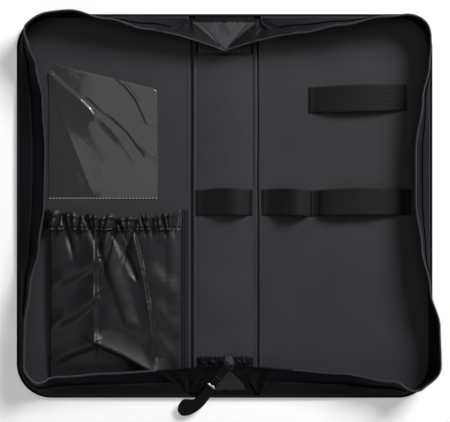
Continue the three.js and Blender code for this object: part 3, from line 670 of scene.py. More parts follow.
def stitchRow(name, pathAt, length, material, stitch, gap, radius, lift):
    count = max(1, round(length / (stitch + gap)))
    pitch = length / count
    points, faces = [], []
    sides = stitchSides
    for s in range(count):
        start, end = s * pitch + gap / 2, (s + 1) * pitch - gap / 2
        base = len(points)
        spine = [Vector(pathAt(mix(start, end, t))) for t, width, height in stitchRings]
        ahead = (spine[-1] - spine[0]).normalized()
        across = ahead.cross(Vector((0, 0, 1)))
        across = across.normalized() if across.length > 1e-6 else Vector((1, 0, 0))
        up = across.cross(ahead).normalized()
        for point, (t, width, height) in zip(spine, stitchRings):
            for k in range(sides):
                angle = 2 * math.pi * k / sides
                spot = point + across * (radius * width * math.cos(angle))
                spot = spot + up * (radius * width * math.sin(angle) + lift * height)
                points.append(tuple(spot))
        for first in range(base, len(points) - sides, sides):
            for k in range(sides):
                a, b = first + k, first + (k + 1) % sides
                faces.append((a, b, b + sides, a + sides))
        faces.append(tuple(range(base, base + sides))[::-1])
        faces.append(tuple(range(len(points) - sides, len(points))))
    return makeMesh(name, points, faces, material)


tapeStart = caseSizes["wallClothHeight"] - caseSizes["tapeOverlap"]
coilStart = wallHeight - caseSizes["coilWidth"]
tapeTop = coilStart + wallLook["tapeUnderCoil"]
tapeOuter = -caseSizes["wallThick"] / 2 - caseSizes["tapeGap"]
tapeInner = tapeOuter - caseSizes["tapeThick"]
coilOuter = (tapeOuter + tapeInner + caseSizes["coilThick"]) / 2


def makeWalls():
    half = caseSizes["wallThick"] / 2
    for side, word in lidWord.items():
        body = word + "_lid"
        wall = wallStrip(word + "_wall_cloth", side, 0, caseSizes["wallClothHeight"], -half, half,
                         surfaces["blackNylonOxford"], wallLook["rows"])
        settle(wall, body, "outer_cloth", word + "_wall")
        tape = wallStrip(word + "_tape_cloth", side, tapeStart, tapeTop, tapeInner, tapeOuter,
                         surfaces["wovenZipTape"], wallLook["tapeRows"])
        settle(tape, body, "zip_tape", word + "_zip_tape")
        # the coil's light grey finish is a painted highlight along the rim
        coil = wallCoil(word + "_coil_turns", side, coilStart, wallHeight, coilOuter - caseSizes["coilThick"],
                        coilOuter, surfaces["nylonCoilPaintedHighlight"])
        settle(coil, body, "zip_coil", word + "_zip_coil")
    print("walls: cloth, tapes and coils")


makeWalls()


# linings: coated cloth glued to the boards, rounded down at their edges, very slightly uneven
liningLook = {"stepAlong": 5.0, "stepShare": 2.6, "spineStep": 4.5, "edgeDrop": 0.45, "edgeRun": 1.6,
              "unevenness": 0.22, "unevenSize": 70, "spineCrown": 1.8}


# how far out a lid reaches at a height y on the picture, set in from its edge
def lidReach(y, inset):
    radius = caseSizes["cornerRadius"] - inset
    end = halfLength - inset
    over = abs(y) - (end - radius)
    if over <= 0:
        return outerX - inset
    return outerX - inset - radius + math.sqrt(max(0.0, radius * radius - over * over))


# a lining turns down where the gap to its edge is small
def edgeDrop(gap):
    t = max(0.0, 1 - gap / liningLook["edgeRun"])
    return liningLook["edgeDrop"] * t * t


# steps along a sheet, closer together near its edges
def liningMarks(low, high, step):
    count = round((high - low) / step)
    soft = [0.0, 0.5, 1.1, 2.0]
    inner = [low + soft[-1] + (high - low - 2 * soft[-1]) * i / count for i in range(1, count)]
    return [low + s for s in soft] + inner + [high - s for s in reversed(soft)]


# a grid over a lid, from beside the fold out to its round edge; heightAt takes x, y and the edge's x there
def lidGrid(side, start, inset, step, heightAt):
    end = halfLength - inset
    grid = []
    for y in liningMarks(-end, end, step):
        row = []
        reach = lidReach(y, inset)
        for share in liningMarks(0, 100, liningLook["stepShare"]):
            x = mix(start, reach, share / 100)
            row.append(Vector((side * x, y, heightAt(x, y, reach))))
        grid.append(row if side > 0 else row[::-1])
    return grid


def makeLinings():
    thick = caseSizes["liningThick"]
    middle = boardTop + thick / 2
    end = halfLength - layerInset
    start = foldX + caseSizes["boardFoldGap"]
    for side, word in lidWord.items():

        # level beside the fold, let down at the other three edges
        def heightAt(x, y, reach):
            gap = min(x - start, reach - x, end - abs(y))
            z = middle - edgeDrop(gap) * (0.0 if gap == x - start else 1.0)
            return z + liningLook["unevenness"] * swell(x, y, 5.0 * side, liningLook["unevenSize"])

        grid = lidGrid(side, start, layerInset, liningLook["stepAlong"], heightAt)
        lining = clothSheet(word + "_lining_cloth", grid, thick, surfaces["coatedLiningCloth"])
        settle(lining, word + "_lid", "lining", word + "_lining")
    half = foldX - caseSizes["boardFoldGap"]
    reach = halfLength - caseSizes["spineLiningEndInset"]
    xs = [x - half for x in liningMarks(0, 2 * half, liningLook["spineStep"])]
    ys = liningMarks(-reach, reach, liningLook["stepAlong"])
    grid = []
    for y in ys:
        row = []
        for x in xs:
            z = middle - edgeDrop(reach - abs(y)) * 0.5 + liningLook["spineCrown"] * (1 - (x / half) ** 2)
            z += liningLook["unevenness"] * swell(x, y, 2.0, liningLook["unevenSize"])
            row.append(Vector((x, y, z)))
        grid.append(row)
    # the spine's lining is a shade lighter than the lids' as painted light
    lining = clothSheet("spine_lining_cloth", grid, thick, surfaces["spineLiningPaintedLighter"])
    settle(lining, "spine", "lining", "spine_lining")
    print("linings: two lids and the spine")


# the cloth over each fold: level with the linings, and let down into a narrow groove on the fold line.
# A soft roll runs beside the groove, on the spine's side or the lid's as "roll" says from top to bottom.
foldLook = {
    "reach": 5.3, "floor": 1.9, "stepAlong": 5.0, "drift": 0.5, "endGap": 8, "rollHeight": 0.75,
    "grooveLength": 6,
    -1: {"grooveHalf": 1.75, "shift": 0.2, "roll": [(-230, -0.9), (180, -1.0), (230, -0.3)]},
    1: {"grooveHalf": 1.0, "shift": 0.7, "roll": [(-230, 1.0), (-20, 0.8), (60, -1.0), (230, -0.9)]},
}


# x runs from the groove towards the lid; side -1 of the roll is the spine's
def foldProfile(x, look, roll):
    top = liningTop - 0.2
    half = look["grooveHalf"]
    if abs(x) < half:
        t = abs(x) / half
        return mix(foldLook["floor"], top - 0.05, t ** 2.5)
    t = min(1.0, (abs(x) - half) / (foldLook["reach"] - half))
    share = max(0.0, roll if x > 0 else -roll)
    return top - 0.05 * (1 - t) + foldLook["rollHeight"] * share * math.sin(math.pi * t) ** 0.8


def makeFolds():
    reach = foldLook["reach"]
    end = halfLength - layerInset - foldLook["endGap"]
    count = round(2 * end / foldLook["stepAlong"])
    for side, word in lidWord.items():
        look = foldLook[side]
        half = look["grooveHalf"]
        inner = [half * s for s in (0.0, 0.25, 0.5, 0.7, 0.85, 0.95)]
        outer = [half + (reach - half) * s for s in (0.03, 0.12, 0.25, 0.4, 0.55, 0.7, 0.85, 0.95, 1.0)]
        across = [-x for x in reversed(inner[1:] + outer)] + inner + outer
        pairs = look["roll"]
        grid = []
        for j in range(count + 1):
            y = -end + 2 * end * j / count
            shift = look["shift"] + foldLook["drift"] * swell(y, 0, 9.0 * side, 70)
            roll = readAlong(pairs, min(max(y, pairs[0][0]), pairs[-1][0]))
            row = []
            for x in across:
                moved = x + shift * max(0.0, 1 - abs(x) / reach)
                row.append(Vector((side * (foldX + moved), y, foldProfile(x, look, roll))))
            grid.append(row if side > 0 else row[::-1])
        cloth = clothSheet(word + "_fold_lining", grid, caseSizes["foldClothThick"],
                           surfaces["foldedLiningCloth"])
        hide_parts(word + "_fold_cloth")
        bendAtFold(cloth, side, caseSizes["boardFoldGap"], caseSizes["boardFoldGap"])
    print("folds: cloth over both fold lines")


makeLinings()
makeFolds()


# elastic loops: flat ribbed bands, sewn down at their feet, each with its own slack
strapSizes = {
    "width": 32, "thick": 1.5, "foot": 5, "footGap": 0.2, "fullness": 0.8, "knifeMiddle": 4,
    "upperMiddle": 130, "step": 2.2, "rows": 14, "footSteps": (0, 1.2, 2.5, 3.8), "edgeCurl": 0.5, "sag": 0.5,
    "wave": 0.9, "pinch": 0.05, "tackWidth": 1.6, "tackInset": 1.5, "tackStitch": 1.5, "tackWire": 0.36,
    # body, start and end in mm, rise, where the arch is highest, bow of its edges, how far it runs aslant
    "loops": {
        "knife_strap_spine_loop": ("spine", -34.2, 34.2, 11, 0.66, 1.2, 0.6),
        "knife_strap_middle_loop": ("right_lid", 45.6, 108, 13, 0.66, 0.8, -1.2),
        "knife_strap_outer_loop": ("right_lid", 108.3, 226, 10, 0.36, 1.5, 0.8),
        "upper_strap": ("right_lid", 103, 221, 7, 0.5, 0.2, 3.4),
    },
}


# the arch stays under the CAD solid's rise; its top leans to one side, as the band's slack does
def strapHeight(t, rise, top):
    warped = t ** (math.log(0.5) / math.log(top))
    return rise * math.sin(math.pi * min(1.0, max(0.0, warped))) ** strapSizes["fullness"]


def makeStraps():
    sizes = strapSizes
    tacks = []
    for number, (node, (body, start, end, rise, top, bow, slant)) in enumerate(sizes["loops"].items()):
        middleY = sizes["upperMiddle"] if node == "upper_strap" else sizes["knifeMiddle"]
        base = liningTop + sizes["footGap"] + sizes["thick"] / 2
        reach = end - start - 2 * sizes["foot"]
        steps = round(reach / sizes["step"])
        marks = [start + s for s in sizes["footSteps"]]
        marks += [start + sizes["foot"] + reach * i / steps for i in range(steps + 1)]
        marks += [end - s for s in reversed(sizes["footSteps"])]
        rows = sizes["rows"]
        grid = []
        for j in range(rows + 1):
            v = 2 * j / rows - 1
            row = []
            for x in marks:
                t = (x - start - sizes["foot"]) / reach
                inside = 0 < t < 1
                lift = strapHeight(t, rise, top) if inside else 0.0
                free = math.sin(math.pi * min(1, max(0, t)))
                sag = sizes["sag"] * free * swell(x, v * 10, 3.3 * number, 26)
                curl = sizes["edgeCurl"] * free * v * v
                pinch = 1 - sizes["pinch"] * (1 - free if inside else 0.9)
                wavy = sizes["wave"] * free * swell(x, v * 3, 8.0 + number, 17)
                y = middleY + v * sizes["width"] / 2 * pinch + bow * free + wavy
                y += slant * ((x - start) / (end - start) - 0.5)
                row.append(Vector((x, y, base + lift + sag + curl)))
            grid.append(row)
        strap = clothSheet(node + "_band", grid, sizes["thick"], surfaces["ribbedElastic"])
        settle(strap, body, "elastic", node)
        foot = sizes["foot"] / 2
        tacks += [(body, start + foot, middleY), (body, end - foot, middleY)]
    counts = {"spine": 0, "right_lid": 0}
    names = {"spine": "spine_strap_tack_", "right_lid": "lid_strap_tack_"}
    for body, x, middleY in tacks:
        counts[body] += 1
        length = sizes["width"] - 2 * sizes["tackInset"]
        level = liningTop + sizes["footGap"] + sizes["thick"]
        turns = 2 * round(length / sizes["tackStitch"])
        path = []
        for k in range(turns + 1):
            y = middleY - length / 2 + length * k / turns
            path.append(Vector((x + sizes["tackWidth"] * (0.5 if k % 2 else -0.5), y, level + 0.25)))
        tack = tubeMesh(names[body] + "stitches_%d" % counts[body], path, sizes["tackWire"], stitchSides,
                        surfaces["blackThread"])
        settle(tack, body, "thread", names[body] + str(counts[body]))
    print("straps:", len(sizes["loops"]), "bands and", len(tacks), "bars of stitches")


makeStraps()


# window: clear vinyl, sewn along its lower edge and open on the other three sides, a little rippled
windowSizes = {
    "width": 133, "height": 162, "outerInset": 39, "bottom": 10, "crown": 1.95, "thick": 0.35,
    "fullness": 0.7, "seat": 0.45, "hold": 0.12, "ripple": 0.15, "rippleSize": 24,
    "corner": 9, "slant": 30, "clip": (9, 11),
    "step": 0.8, "stitch": 2.0, "stitchGap": 2.0, "stitchRadius": 0.5, "stitchInset": 0.75,
    # each crease: its path in shares of the film, how far it lifts, how far in mm its gentle and its steep
    # side reach, and the gentle side: 1 is left of the path and -1 is right of it
    "creases": [
        {"path": [(-0.03, 0.975), (0.15, 0.835), (0.28, 0.745), (0.382, 0.66)], "lift": 1.5, "reach": 22,
         "steep": 2.2, "side": -1},
        {"path": [(0.435, 0.69), (0.565, 0.611), (0.717, 0.498), (0.809, 0.398), (0.886, 0.31), (1.0, 0.277)],
         "lift": 1.0, "reach": 18, "steep": 1.9, "side": 1},
        {"path": [(0.626, 0.887), (0.703, 0.837), (0.809, 0.724), (0.871, 0.611), (0.894, 0.561),
                  (1.0, 0.535)], "lift": 0.9, "reach": 14, "steep": 1.9, "side": 1},
        {"path": [(0.84, 0.385), (0.90, 0.325), (1.0, 0.292)], "lift": 0.5, "reach": 3, "steep": 1.5,
         "side": -1},
        {"path": [(0.64, 0.90), (0.72, 0.845), (0.82, 0.735)], "lift": 0.35, "reach": 3, "steep": 1.5,
         "side": -1},
        {"path": [(0.06, 0.80), (0.15, 0.55), (0.26, 0.32), (0.40, 0.03)], "lift": 0.35, "reach": 26,
         "steep": 5.0, "side": 1},
        {"path": [(0.45, 0.62), (0.62, 0.47), (0.80, 0.26), (0.97, 0.02)], "lift": 0.3, "reach": 12,
         "steep": 3.0, "side": -1},
    ],
}


# signed distance in mm from a point to a line of points, above it where positive
def lineDistance(x, y, line):
    best, sign = 1e9, 1
    for (ax, ay), (bx, by) in zip(line, line[1:]):
        dx, dy = bx - ax, by - ay
        t = min(1.0, max(0.0, ((x - ax) * dx + (y - ay) * dy) / (dx * dx + dy * dy)))
        gap = math.hypot(x - ax - t * dx, y - ay - t * dy)
        if gap < best:
            best, sign = gap, 1 if dx * (y - ay) - dy * (x - ax) > 0 else -1
    return best * sign


# each crease is a ridge with one steep side and one long shallow side
def creaseLift(x, y, crease):
    gap = lineDistance(x, y, crease["line"])
    if gap * crease["side"] > 0:
        return crease["lift"] * max(0.0, 1 - abs(gap) / crease["reach"]) ** 2
    return crease["lift"] * max(0.0, 1 - abs(gap) / crease["steep"]) ** 1.3


def makeWindow():
    sizes = windowSizes
    width, height = sizes["width"], sizes["height"]
    left = -outerX + sizes["outerInset"]
    for crease in sizes["creases"]:
        crease["line"] = [(u * width, v * height) for u, v in crease["path"]]
    across, along = round(width / sizes["step"]), round(height / sizes["step"])

    # the upper edge is cut on a slant, with one corner clipped and the other cut round
    def topAt(x):
        slant = mix(height, height - sizes["slant"], (x - sizes["clip"][0]) / (width - sizes["clip"][0]))
        if x < sizes["clip"][0]:
            return mix(height - sizes["clip"][1], height, x / sizes["clip"][0])
        over = x - (width - sizes["corner"])
        if over > 0:
            slant -= sizes["corner"] - math.sqrt(max(0.0, sizes["corner"] ** 2 - over * over))
        return slant

    def pointAt(u, v):
        x = width * u
        y = topAt(x) * v
        full = max(0.0, math.sin(math.pi * u)) ** sizes["fullness"] * math.sin(math.pi * v / 2)
        z = liningTop + sizes["seat"] + sizes["crown"] * full
        hold = min(1.0, v / sizes["hold"])
        for crease in sizes["creases"]:
            z += hold * creaseLift(x, y, crease)
        z += sizes["ripple"] * hold * swell(x, y, 1.7, sizes["rippleSize"])
        return left + x, sizes["bottom"] + y, z

    film = clothSheet("window_vinyl", gridOf(across, along, pointAt), sizes["thick"], surfaces["clearVinyl"])
    settle(film, "left_lid", "film", "window_film")

    # one row of white stitches holds the film's lower edge on the lining
    seamY = sizes["bottom"] - sizes["stitchInset"]
    stitches = stitchRow("window_stitches", lambda s: (left + s, seamY, liningTop + sizes["seat"]), width,
                         surfaces["whiteThread"], stitch=sizes["stitch"], gap=sizes["stitchGap"],
                         radius=sizes["stitchRadius"], lift=0.25)
    settle(stitches, "left_lid", "thread", "window_seam")
    print("window: vinyl with", len(sizes["creases"]), "creases and its stitches")


makeWindow()


# pocket: a satin front, drawn in by a hem with elastic, with long folds that start at the gathers
pocketSizes = {
    "left": -213, "right": -52, "bottom": -221.5, "top": -28, "depth": 15, "thick": 0.6, "step": 1.3,
    "fullness": (0.16, 0.33), "sag": 0.12, "footShare": 0.62, "frontShare": 0.8, "topShare": 0.86,
    "pleatDrop": 5.5, "bindingWidth": 6.9, "bindingThick": 0.8, "elasticWidth": 9,
    "casingLeft": -223, "casingHeight": 24, "gatherFold": 5.4, "frill": 3.0, "hemSag": 8.0, "hemDrop": 3.5,
    # cloth that the folds and gathers take up, in times the size that they cover
    "frontCut": 1.2, "hemCut": 1.5,
    # gaps between the gathers: place on the hem, slant over the hem's height, length of the pleat below
    "gaps": [(-222.5, 0, 8), (-204, 9, 22), (-191, -7, 46), (-176, 2, 14), (-161, -9, 50),
             (-152, 2, 24), (-134, 7, 58), (-123, -9, 40), (-112, 8, 56), (-95, -6, 14),
             (-88, 1, 10), (-71, -5, 16), (-61, 3, 10), (-51.8, 0, 6)],
    # ridges: their paths in shares of the front (from the foot's left corner), how far they lift, and how
    # far their steep and gentle sides reach in mm; past a steep side the cloth can dip by "valley"
    "ridges": [
        {"path": [(0.353, 1.0), (0.353, 0.62), (0.355, 0.295)], "lift": 5.5, "steep": 2.4, "gentle": 24,
         "side": -1, "valley": 2.4, "recover": 17},
        {"path": [(0.35, 0.295), (0.40, 0.275), (0.56, 0.215), (0.79, 0.10)], "lift": 7.5, "steep": 8,
         "gentle": 26, "side": 1},
        {"path": [(0.631, 1.0), (0.694, 0.79), (0.732, 0.63), (0.779, 0.39), (0.798, 0.10)], "lift": 5.0,
         "steep": 2.4, "gentle": 20, "side": -1, "valley": 1.8, "recover": 15},
        {"path": [(0.43, 0.92), (0.47, 0.74), (0.56, 0.52), (0.60, 0.42)], "lift": 3.0, "steep": 9,
         "gentle": 18, "side": 1, "soft": True},
        {"path": [(0.486, 0.99), (0.60, 0.805), (0.70, 0.65)], "lift": -2.2, "steep": 9, "gentle": 8,
         "side": 1, "soft": True},
        {"path": [(0.92, 1.0), (0.94, 0.85), (0.95, 0.5)], "lift": 2.0, "steep": 12, "gentle": 12, "side": -1,
         "soft": True},
    ],
    # broad soft bands that run aslant between the ridges, where the satin is pulled towards a ridge:
    # path, lift, and how far the lower and the upper side reach
    "bands": [
        ([(0.0, 0.66), (0.18, 0.72), (0.34, 0.80)], 5.2, 12, 20),
        ([(0.0, 0.40), (0.18, 0.47), (0.33, 0.57)], 5.2, 12, 19),
        ([(0.04, 0.19), (0.20, 0.25), (0.33, 0.29)], 4.6, 11, 15),
        ([(0.76, 0.72), (0.88, 0.65), (1.0, 0.57)], 1.9, 12, 18),
        ([(0.80, 0.50), (0.90, 0.43), (1.0, 0.34)], 2.0, 12, 18),
        ([(0.82, 0.30), (0.90, 0.24), (1.0, 0.16)], 1.8, 11, 14),
        ([(0.46, 0.46), (0.56, 0.42), (0.70, 0.35)], 1.2, 12, 16),
    ],
}
pocketWidth = pocketSizes["right"] - pocketSizes["left"]
pocketHeight = pocketSizes["top"] - pocketSizes["bottom"]
pocketRidges = pocketSizes["ridges"]
pocketBands = [{"path": path, "lift": lift, "steep": steep, "gentle": gentle, "side": 1, "soft": True}
               for path, lift, steep, gentle in pocketSizes["bands"]]
for ridge in pocketRidges + pocketBands:
    ridge["line"] = [(u * pocketWidth, v * pocketHeight) for u, v in ridge["path"]]


# how high the full pocket stands, without its folds
def pocketLift(u, v):
    sizes = pocketSizes
    sides = max(0.0, math.sin(math.pi * u)) ** sizes["fullness"][0 if u < 0.5 else 1]
    foot = math.sin(math.pi / 2 * min(1.0, v / sizes["footShare"])) ** 0.8
    return sizes["depth"] * sides * foot * (1 - sizes["sag"] * v)


# one ridge's height at a point: steep on one side, with or without a dip past it, and gentle on the other
def ridgeLift(x, y, ridge):
    gap = lineDistance(x, y, ridge["line"])
    reach = ridge["gentle"] if gap * ridge["side"] > 0 else ridge["steep"]
    if "valley" in ridge and gap * ridge["side"] <= 0:
        if abs(gap) < reach:
            return mix(ridge["lift"], -ridge["valley"], abs(gap) / reach)
        return -ridge["valley"] * max(0.0, 1 - (abs(gap) - reach) / ridge["recover"]) ** 1.5
    t = min(1.0, abs(gap) / reach)
    if ridge.get("soft"):
        return ridge["lift"] * (0.5 + 0.5 * math.cos(math.pi * t))
    return ridge["lift"] * (1 - t) ** (1.7 if gap * ridge["side"] > 0 else 2.6)


# gathers: full lobes of cloth between deep gaps; gives the share of a lobe's height, and its width's share
def gatherAt(x, rise):
    gaps = pocketSizes["gaps"]
    marks = [place + slant * rise for place, slant, tail in gaps]
    k = 0
    while k < len(marks) - 2 and x > marks[k + 1]:
        k += 1
    width = marks[k + 1] - marks[k]
    t = min(1.0, max(0.0, (x - marks[k]) / width))
    full = math.sin(math.pi * t ** (0.75 if k % 2 else 1.3)) ** 0.75
    if width > 10:
        full *= 1 - 0.38 * math.exp(-((t - 0.42 - 0.25 * swell(k * 3.7, 0.0)) / 0.12) ** 2)
    return full, min(1.15, width / 13)


# pleats that run down the front from the gaps and die out
def pleatDepth(x, down):
    depth = 0.0
    for place, slant, tail in pocketSizes["gaps"]:
        if down < tail:
            gap = abs(x - place + slant * down / pocketSizes["casingHeight"] * 0.8)
            depth = max(depth, (1 - down / tail) ** 1.2 * max(0.0, 1 - gap / 5.5) ** 1.5)
    return depth


# the front: its bulge, the ridges where the higher of two wins, the bands, the pleats and small waves; its
# top edge follows the hem's gathers
def pocketPoint(u, v):
    sizes = pocketSizes
    across, up = pocketWidth * u, pocketHeight * v
    x, y = sizes["left"] + across, sizes["bottom"] + up
    ease = min(1.0, 10 * u * (1 - u)) * min(1.0, v * 9)
    lift = pocketLift(u, v) * sizes["frontShare"]
    joined = np.cbrt(sum(ridgeLift(across, up, ridge) ** 3 for ridge in pocketRidges))
    lift += ease * (joined + sum(ridgeLift(across, up, band) for band in pocketBands))
    lift -= ease * sizes["pleatDrop"] * pleatDepth(x, pocketHeight * (1 - v))
    lift += ease * (0.7 * swell(x, y, 6.0, 26) + 0.15 * swell(x, y, 2.0, 9))
    near = smooth((v - 0.9) / 0.1)
    rim = pocketLift(u, 1.0) * sizes["topShare"] + 3.0 * (gatherAt(x, 0.0)[0] - 0.4) * ease
    lift = mix(lift, rim, 0.7 * near)
    return x, y, liningTop + 0.35 + max(0.0, lift - 1.2 * ease)


# the hem: lobes of cloth that stand up between the gaps, pinched by two seams and frilled at the top
def hemPoint(u, v):
    sizes = pocketSizes
    ease = min(1.0, 14 * u * (1 - u))
    x = mix(sizes["casingLeft"], sizes["right"], u)
    bodyU = min(1.0, max(0.0, (x - sizes["left"]) / pocketWidth))
    base = pocketLift(bodyU, 1.0) * sizes["topShare"] * ease
    full, size = gatherAt(x, v)
    pinch = 1 - 0.45 * math.exp(-((v - 0.12) / 0.06) ** 2) - 0.1 * math.exp(-((v - 0.6) / 0.07) ** 2)
    flare = 1 + 0.25 * smooth((v - 0.6) / 0.3)
    swellUp = sizes["gatherFold"] * size * full * pinch * flare
    drop = sizes["hemDrop"] * smooth((v - 0.82) / 0.18) * full
    frill = sizes["frill"] * (full - 0.7) + 3.0 * swell(x, 0.0, 5.0, 13)
    hang = sizes["hemSag"] * v * math.sin(math.pi * u ** 1.4)
    y = sizes["top"] - 1.0 + sizes["casingHeight"] * v + frill * v * v - hang
    rough = 0.4 * swell(x, y, 1.0, 5) + 1.2 * swell(x * 1.2 - y * 0.6, y * 0.3, 4.0, 8)
    z = liningTop + 0.6 + base * (0.6 + 0.4 * full) + ease * (swellUp - drop + rough)
    return x, y, max(z, liningTop + 0.5)


def makePocket():
    sizes = pocketSizes
    grid = gridOf(round(pocketWidth / sizes["step"]), round(pocketHeight / sizes["step"]), pocketPoint)
    front = clothSheet("pocket_satin", grid, sizes["thick"], surfaces["satinNylon"])
    settle(front, "left_lid", "pocket_cloth", "pocket_front")
    hem = clothSheet("pocket_hem", gridOf(260, 22, hemPoint), sizes["thick"], surfaces["satinNylon"])
    settle(hem, "left_lid", "pocket_cloth", "pocket_casing")

    # the elastic inside the hem: flat, under the gathers
    def elasticPoint(u, v):
        inside = mix(0.04, 0.96, u)
        x, y = hemPoint(inside, 0.3 + (v - 0.5) * sizes["elasticWidth"] / sizes["casingHeight"])[:2]
        ease = min(1.0, 8 * inside * (1 - inside))
        return x, y, liningTop + 0.75 + pocketLift(inside, 1.0) * 0.744 * ease

    elastic = clothSheet("pocket_hem_elastic", gridOf(70, 3, elasticPoint), 0.8, surfaces["ribbedElastic"])
    settle(elastic, "left_lid", "elastic", "pocket_elastic")
    bindingLeft = sizes["right"] + 0.3
    top = sizes["top"] + sizes["casingHeight"] - 0.2

    def bindingPoint(u, v):
        bulge = 0.45 * math.sin(math.pi * u) ** 0.5 + 0.15 * swell(0, v * 30, 2.0)
        return bindingLeft + sizes["bindingWidth"] * u, mix(sizes["bottom"], top, v), liningTop + 0.45 + bulge

    binding = clothSheet("pocket_edge_binding", gridOf(10, 80, bindingPoint), sizes["bindingThick"],
                         surfaces["grosgrainBinding"])
    settle(binding, "left_lid", "pocket_cloth", "pocket_side_binding")
    for number, share in enumerate((0.2, 0.72)):
        x = bindingLeft + sizes["bindingWidth"] * share
        row = stitchRow("pocket_edge_stitches_%d" % (number + 1),
                        lambda s: (x, sizes["bottom"] + 1 + s, liningTop + 1.25), top - sizes["bottom"] - 2,
                        surfaces["greyThread"], stitch=2.4, gap=1.0, radius=0.26, lift=0.1)
        settle(row, "left_lid", "thread")
    print("pocket: front, hem, elastic and binding")


makePocket()


# the spine's two ends: a leaning triangle of cloth, loose folds on both sides of it, a crumpled tape end;
# 1 stands for the top end and -1 for the bottom one
endSizes = {
    "gussetHalf": 35.9, "gussetFilled": 0.55, "apexWidth": -3, "edge": 1, "hang": {1: 7.0, -1: 2.0},
    "hangReach": 44, "hangFade": 2.2,
    # the coated side of a gusset: over a black foot, or a patch at the bottom end; how far it shows on a fold
    "footBand": 6.5, "patchX": 7, "patchHalf": 19, "patchTop": 32, "patchLow": 6.0, "patchRagged": 2.5,
    "greyReach": 5.5,
    # loose folds: where they start, their cloth, their waves, and the share of them that the wall's cloth is
    "foldStart": 2, "foldThick": 0.7, "foldDeep": 1.9, "foldWaves": 3.2, "fine": {1: 0.5, -1: 1.5},
    "flatShare": 0.3, "wallShare": 0.52, "foldCut": (62, 46, 0.66), "bend": (13, 15),
    # the coil along the folds' rim: steps of its line, half its width and height
    "coilSteps": 40, "coilHalf": (0.7, 0.9),
    "crumple": {1: 0.255, -1: 1.7}, "tapeThick": 0.6, "tapeCut": 1.1, "stitchInset": 2.2,
}
apexRise = wallHeight - endSizes["apexWidth"]
endWord = {1: "top", -1: "bottom"}


def spineEndPlace(x, far):
    return x, far * halfLength, 0.0, -far


# the height of an end gusset beside its middle
def gussetTop(x):
    return max(endSizes["edge"], apexRise * (1 - abs(x) / endSizes["gussetHalf"]))


# near its apex the cloth hangs in further than its straight slope
def hangIn(x, rise, far):
    near = smooth(1 - abs(x) / endSizes["hangReach"])
    return -far * endSizes["hang"][far] * near * min(1.0, rise / apexRise) ** 1.5


# the gusset's own cloth is black, in the crushed nylon darkened as painted shade; its coated side shows grey
# above a black foot, or at the bottom as a patch
def paintGusset(gusset, far):
    sizes = endSizes
    gusset.data.materials.append(surfaces["crushedNylonPaintedShade"])
    for face in gusset.data.polygons:
        x, y = face.center.x / mm, face.center.y / mm
        rise = max(0.0, halfLength - wallInset - far * y) * wallHeight / caseSizes["endLean"]
        dark = rise < sizes["footBand"]
        if far < 0:
            share = (rise - sizes["patchLow"]) / (sizes["patchTop"] - sizes["patchLow"])
            aside = abs(x - sizes["patchX"]) + sizes["patchRagged"] * swell(x, rise, 4.0, 6)
            dark = not 0 < share < 1 or aside > sizes["patchHalf"] * (1 - 0.6 * share)
        face.material_index = 1 if dark else 0


def makeGussets():
    half = endSizes["gussetHalf"]
    for far, word in endWord.items():

        def pointAt(u, v):
            x = half * (2 * u - 1)
            top = gussetTop(x)
            rise = top * v
            soft = math.sin(math.pi * v) * min(1, top / 8)
            wave = soft * (0.9 * swell(x, rise, 12.0 + far, 13) + 0.4 * swell(x * 1.3, rise, 3.0, 5))
            x, y, z = slopePoint(spineEndPlace(x, far), caseSizes["endLean"], boardTop, rise, wave)
            return x, y + hangIn(x, rise, far), z

        grid = gridOf(60, 16, pointAt)
        grid = grid if far < 0 else [row[::-1] for row in grid]
        gusset = clothSheet(word + "_gusset_cloth", grid, caseSizes["wallThick"], surfaces["gussetNylon"])
        paintGusset(gusset, far)
        settle(gusset, "spine", "outer_cloth", word + "_gusset")


# the cloth between an end gusset and a lid's slanted wall end, pushed up in folds when the lids lie open
def foldPoint(far, side, u, v):
    sizes = endSizes
    rise = mix(sizes["foldStart"], apexRise, v)
    spineX = side * sizes["gussetHalf"] * (1 - rise / apexRise)
    fromSpine = Vector(slopePoint(spineEndPlace(spineX, far), caseSizes["endLean"], boardTop, rise, 0))
    lidRise = rise * wallHeight / apexRise
    along = lidRise + caseSizes["mitreGap"]
    place, lean = lidPlace(side, along if far > 0 else edgeRun - along)
    fromLid = Vector(slopePoint(place, lean, liningTop, lidRise, 0))
    gap = (fromLid - fromSpine).length
    share = (0.4 + (gap - 0.8) * u) / gap
    point = fromSpine.lerp(fromLid, share)
    point.y += hangIn(spineX, rise, far) * (1 - share) ** sizes["hangFade"]
    flat = sizes["flatShare"] if far > 0 else 0.0
    free = math.sin(math.pi * max(0.0, (u - flat) / (1 - flat))) ** 0.7
    lively = 0.35 + 0.65 * math.sin(math.pi * min(1, v * 1.1)) ** 0.8
    turn = sizes["foldWaves"] * 2 * math.pi * u + 1.6 * swell(v * 3, far * 5 + side, 2.0)
    point.z += free * lively * (sizes["foldDeep"] * math.sin(turn) + 0.8 * swell(u * 5, v * 6, side + far))
    point.z += free * lively * sizes["fine"][far] * swell(u * 11 + v * 4, v * 9, 2.0 + side)
    point.y += far * free * lively * 1.2 * swell(u * 4, v * 4, 7.0 + side)
    return point
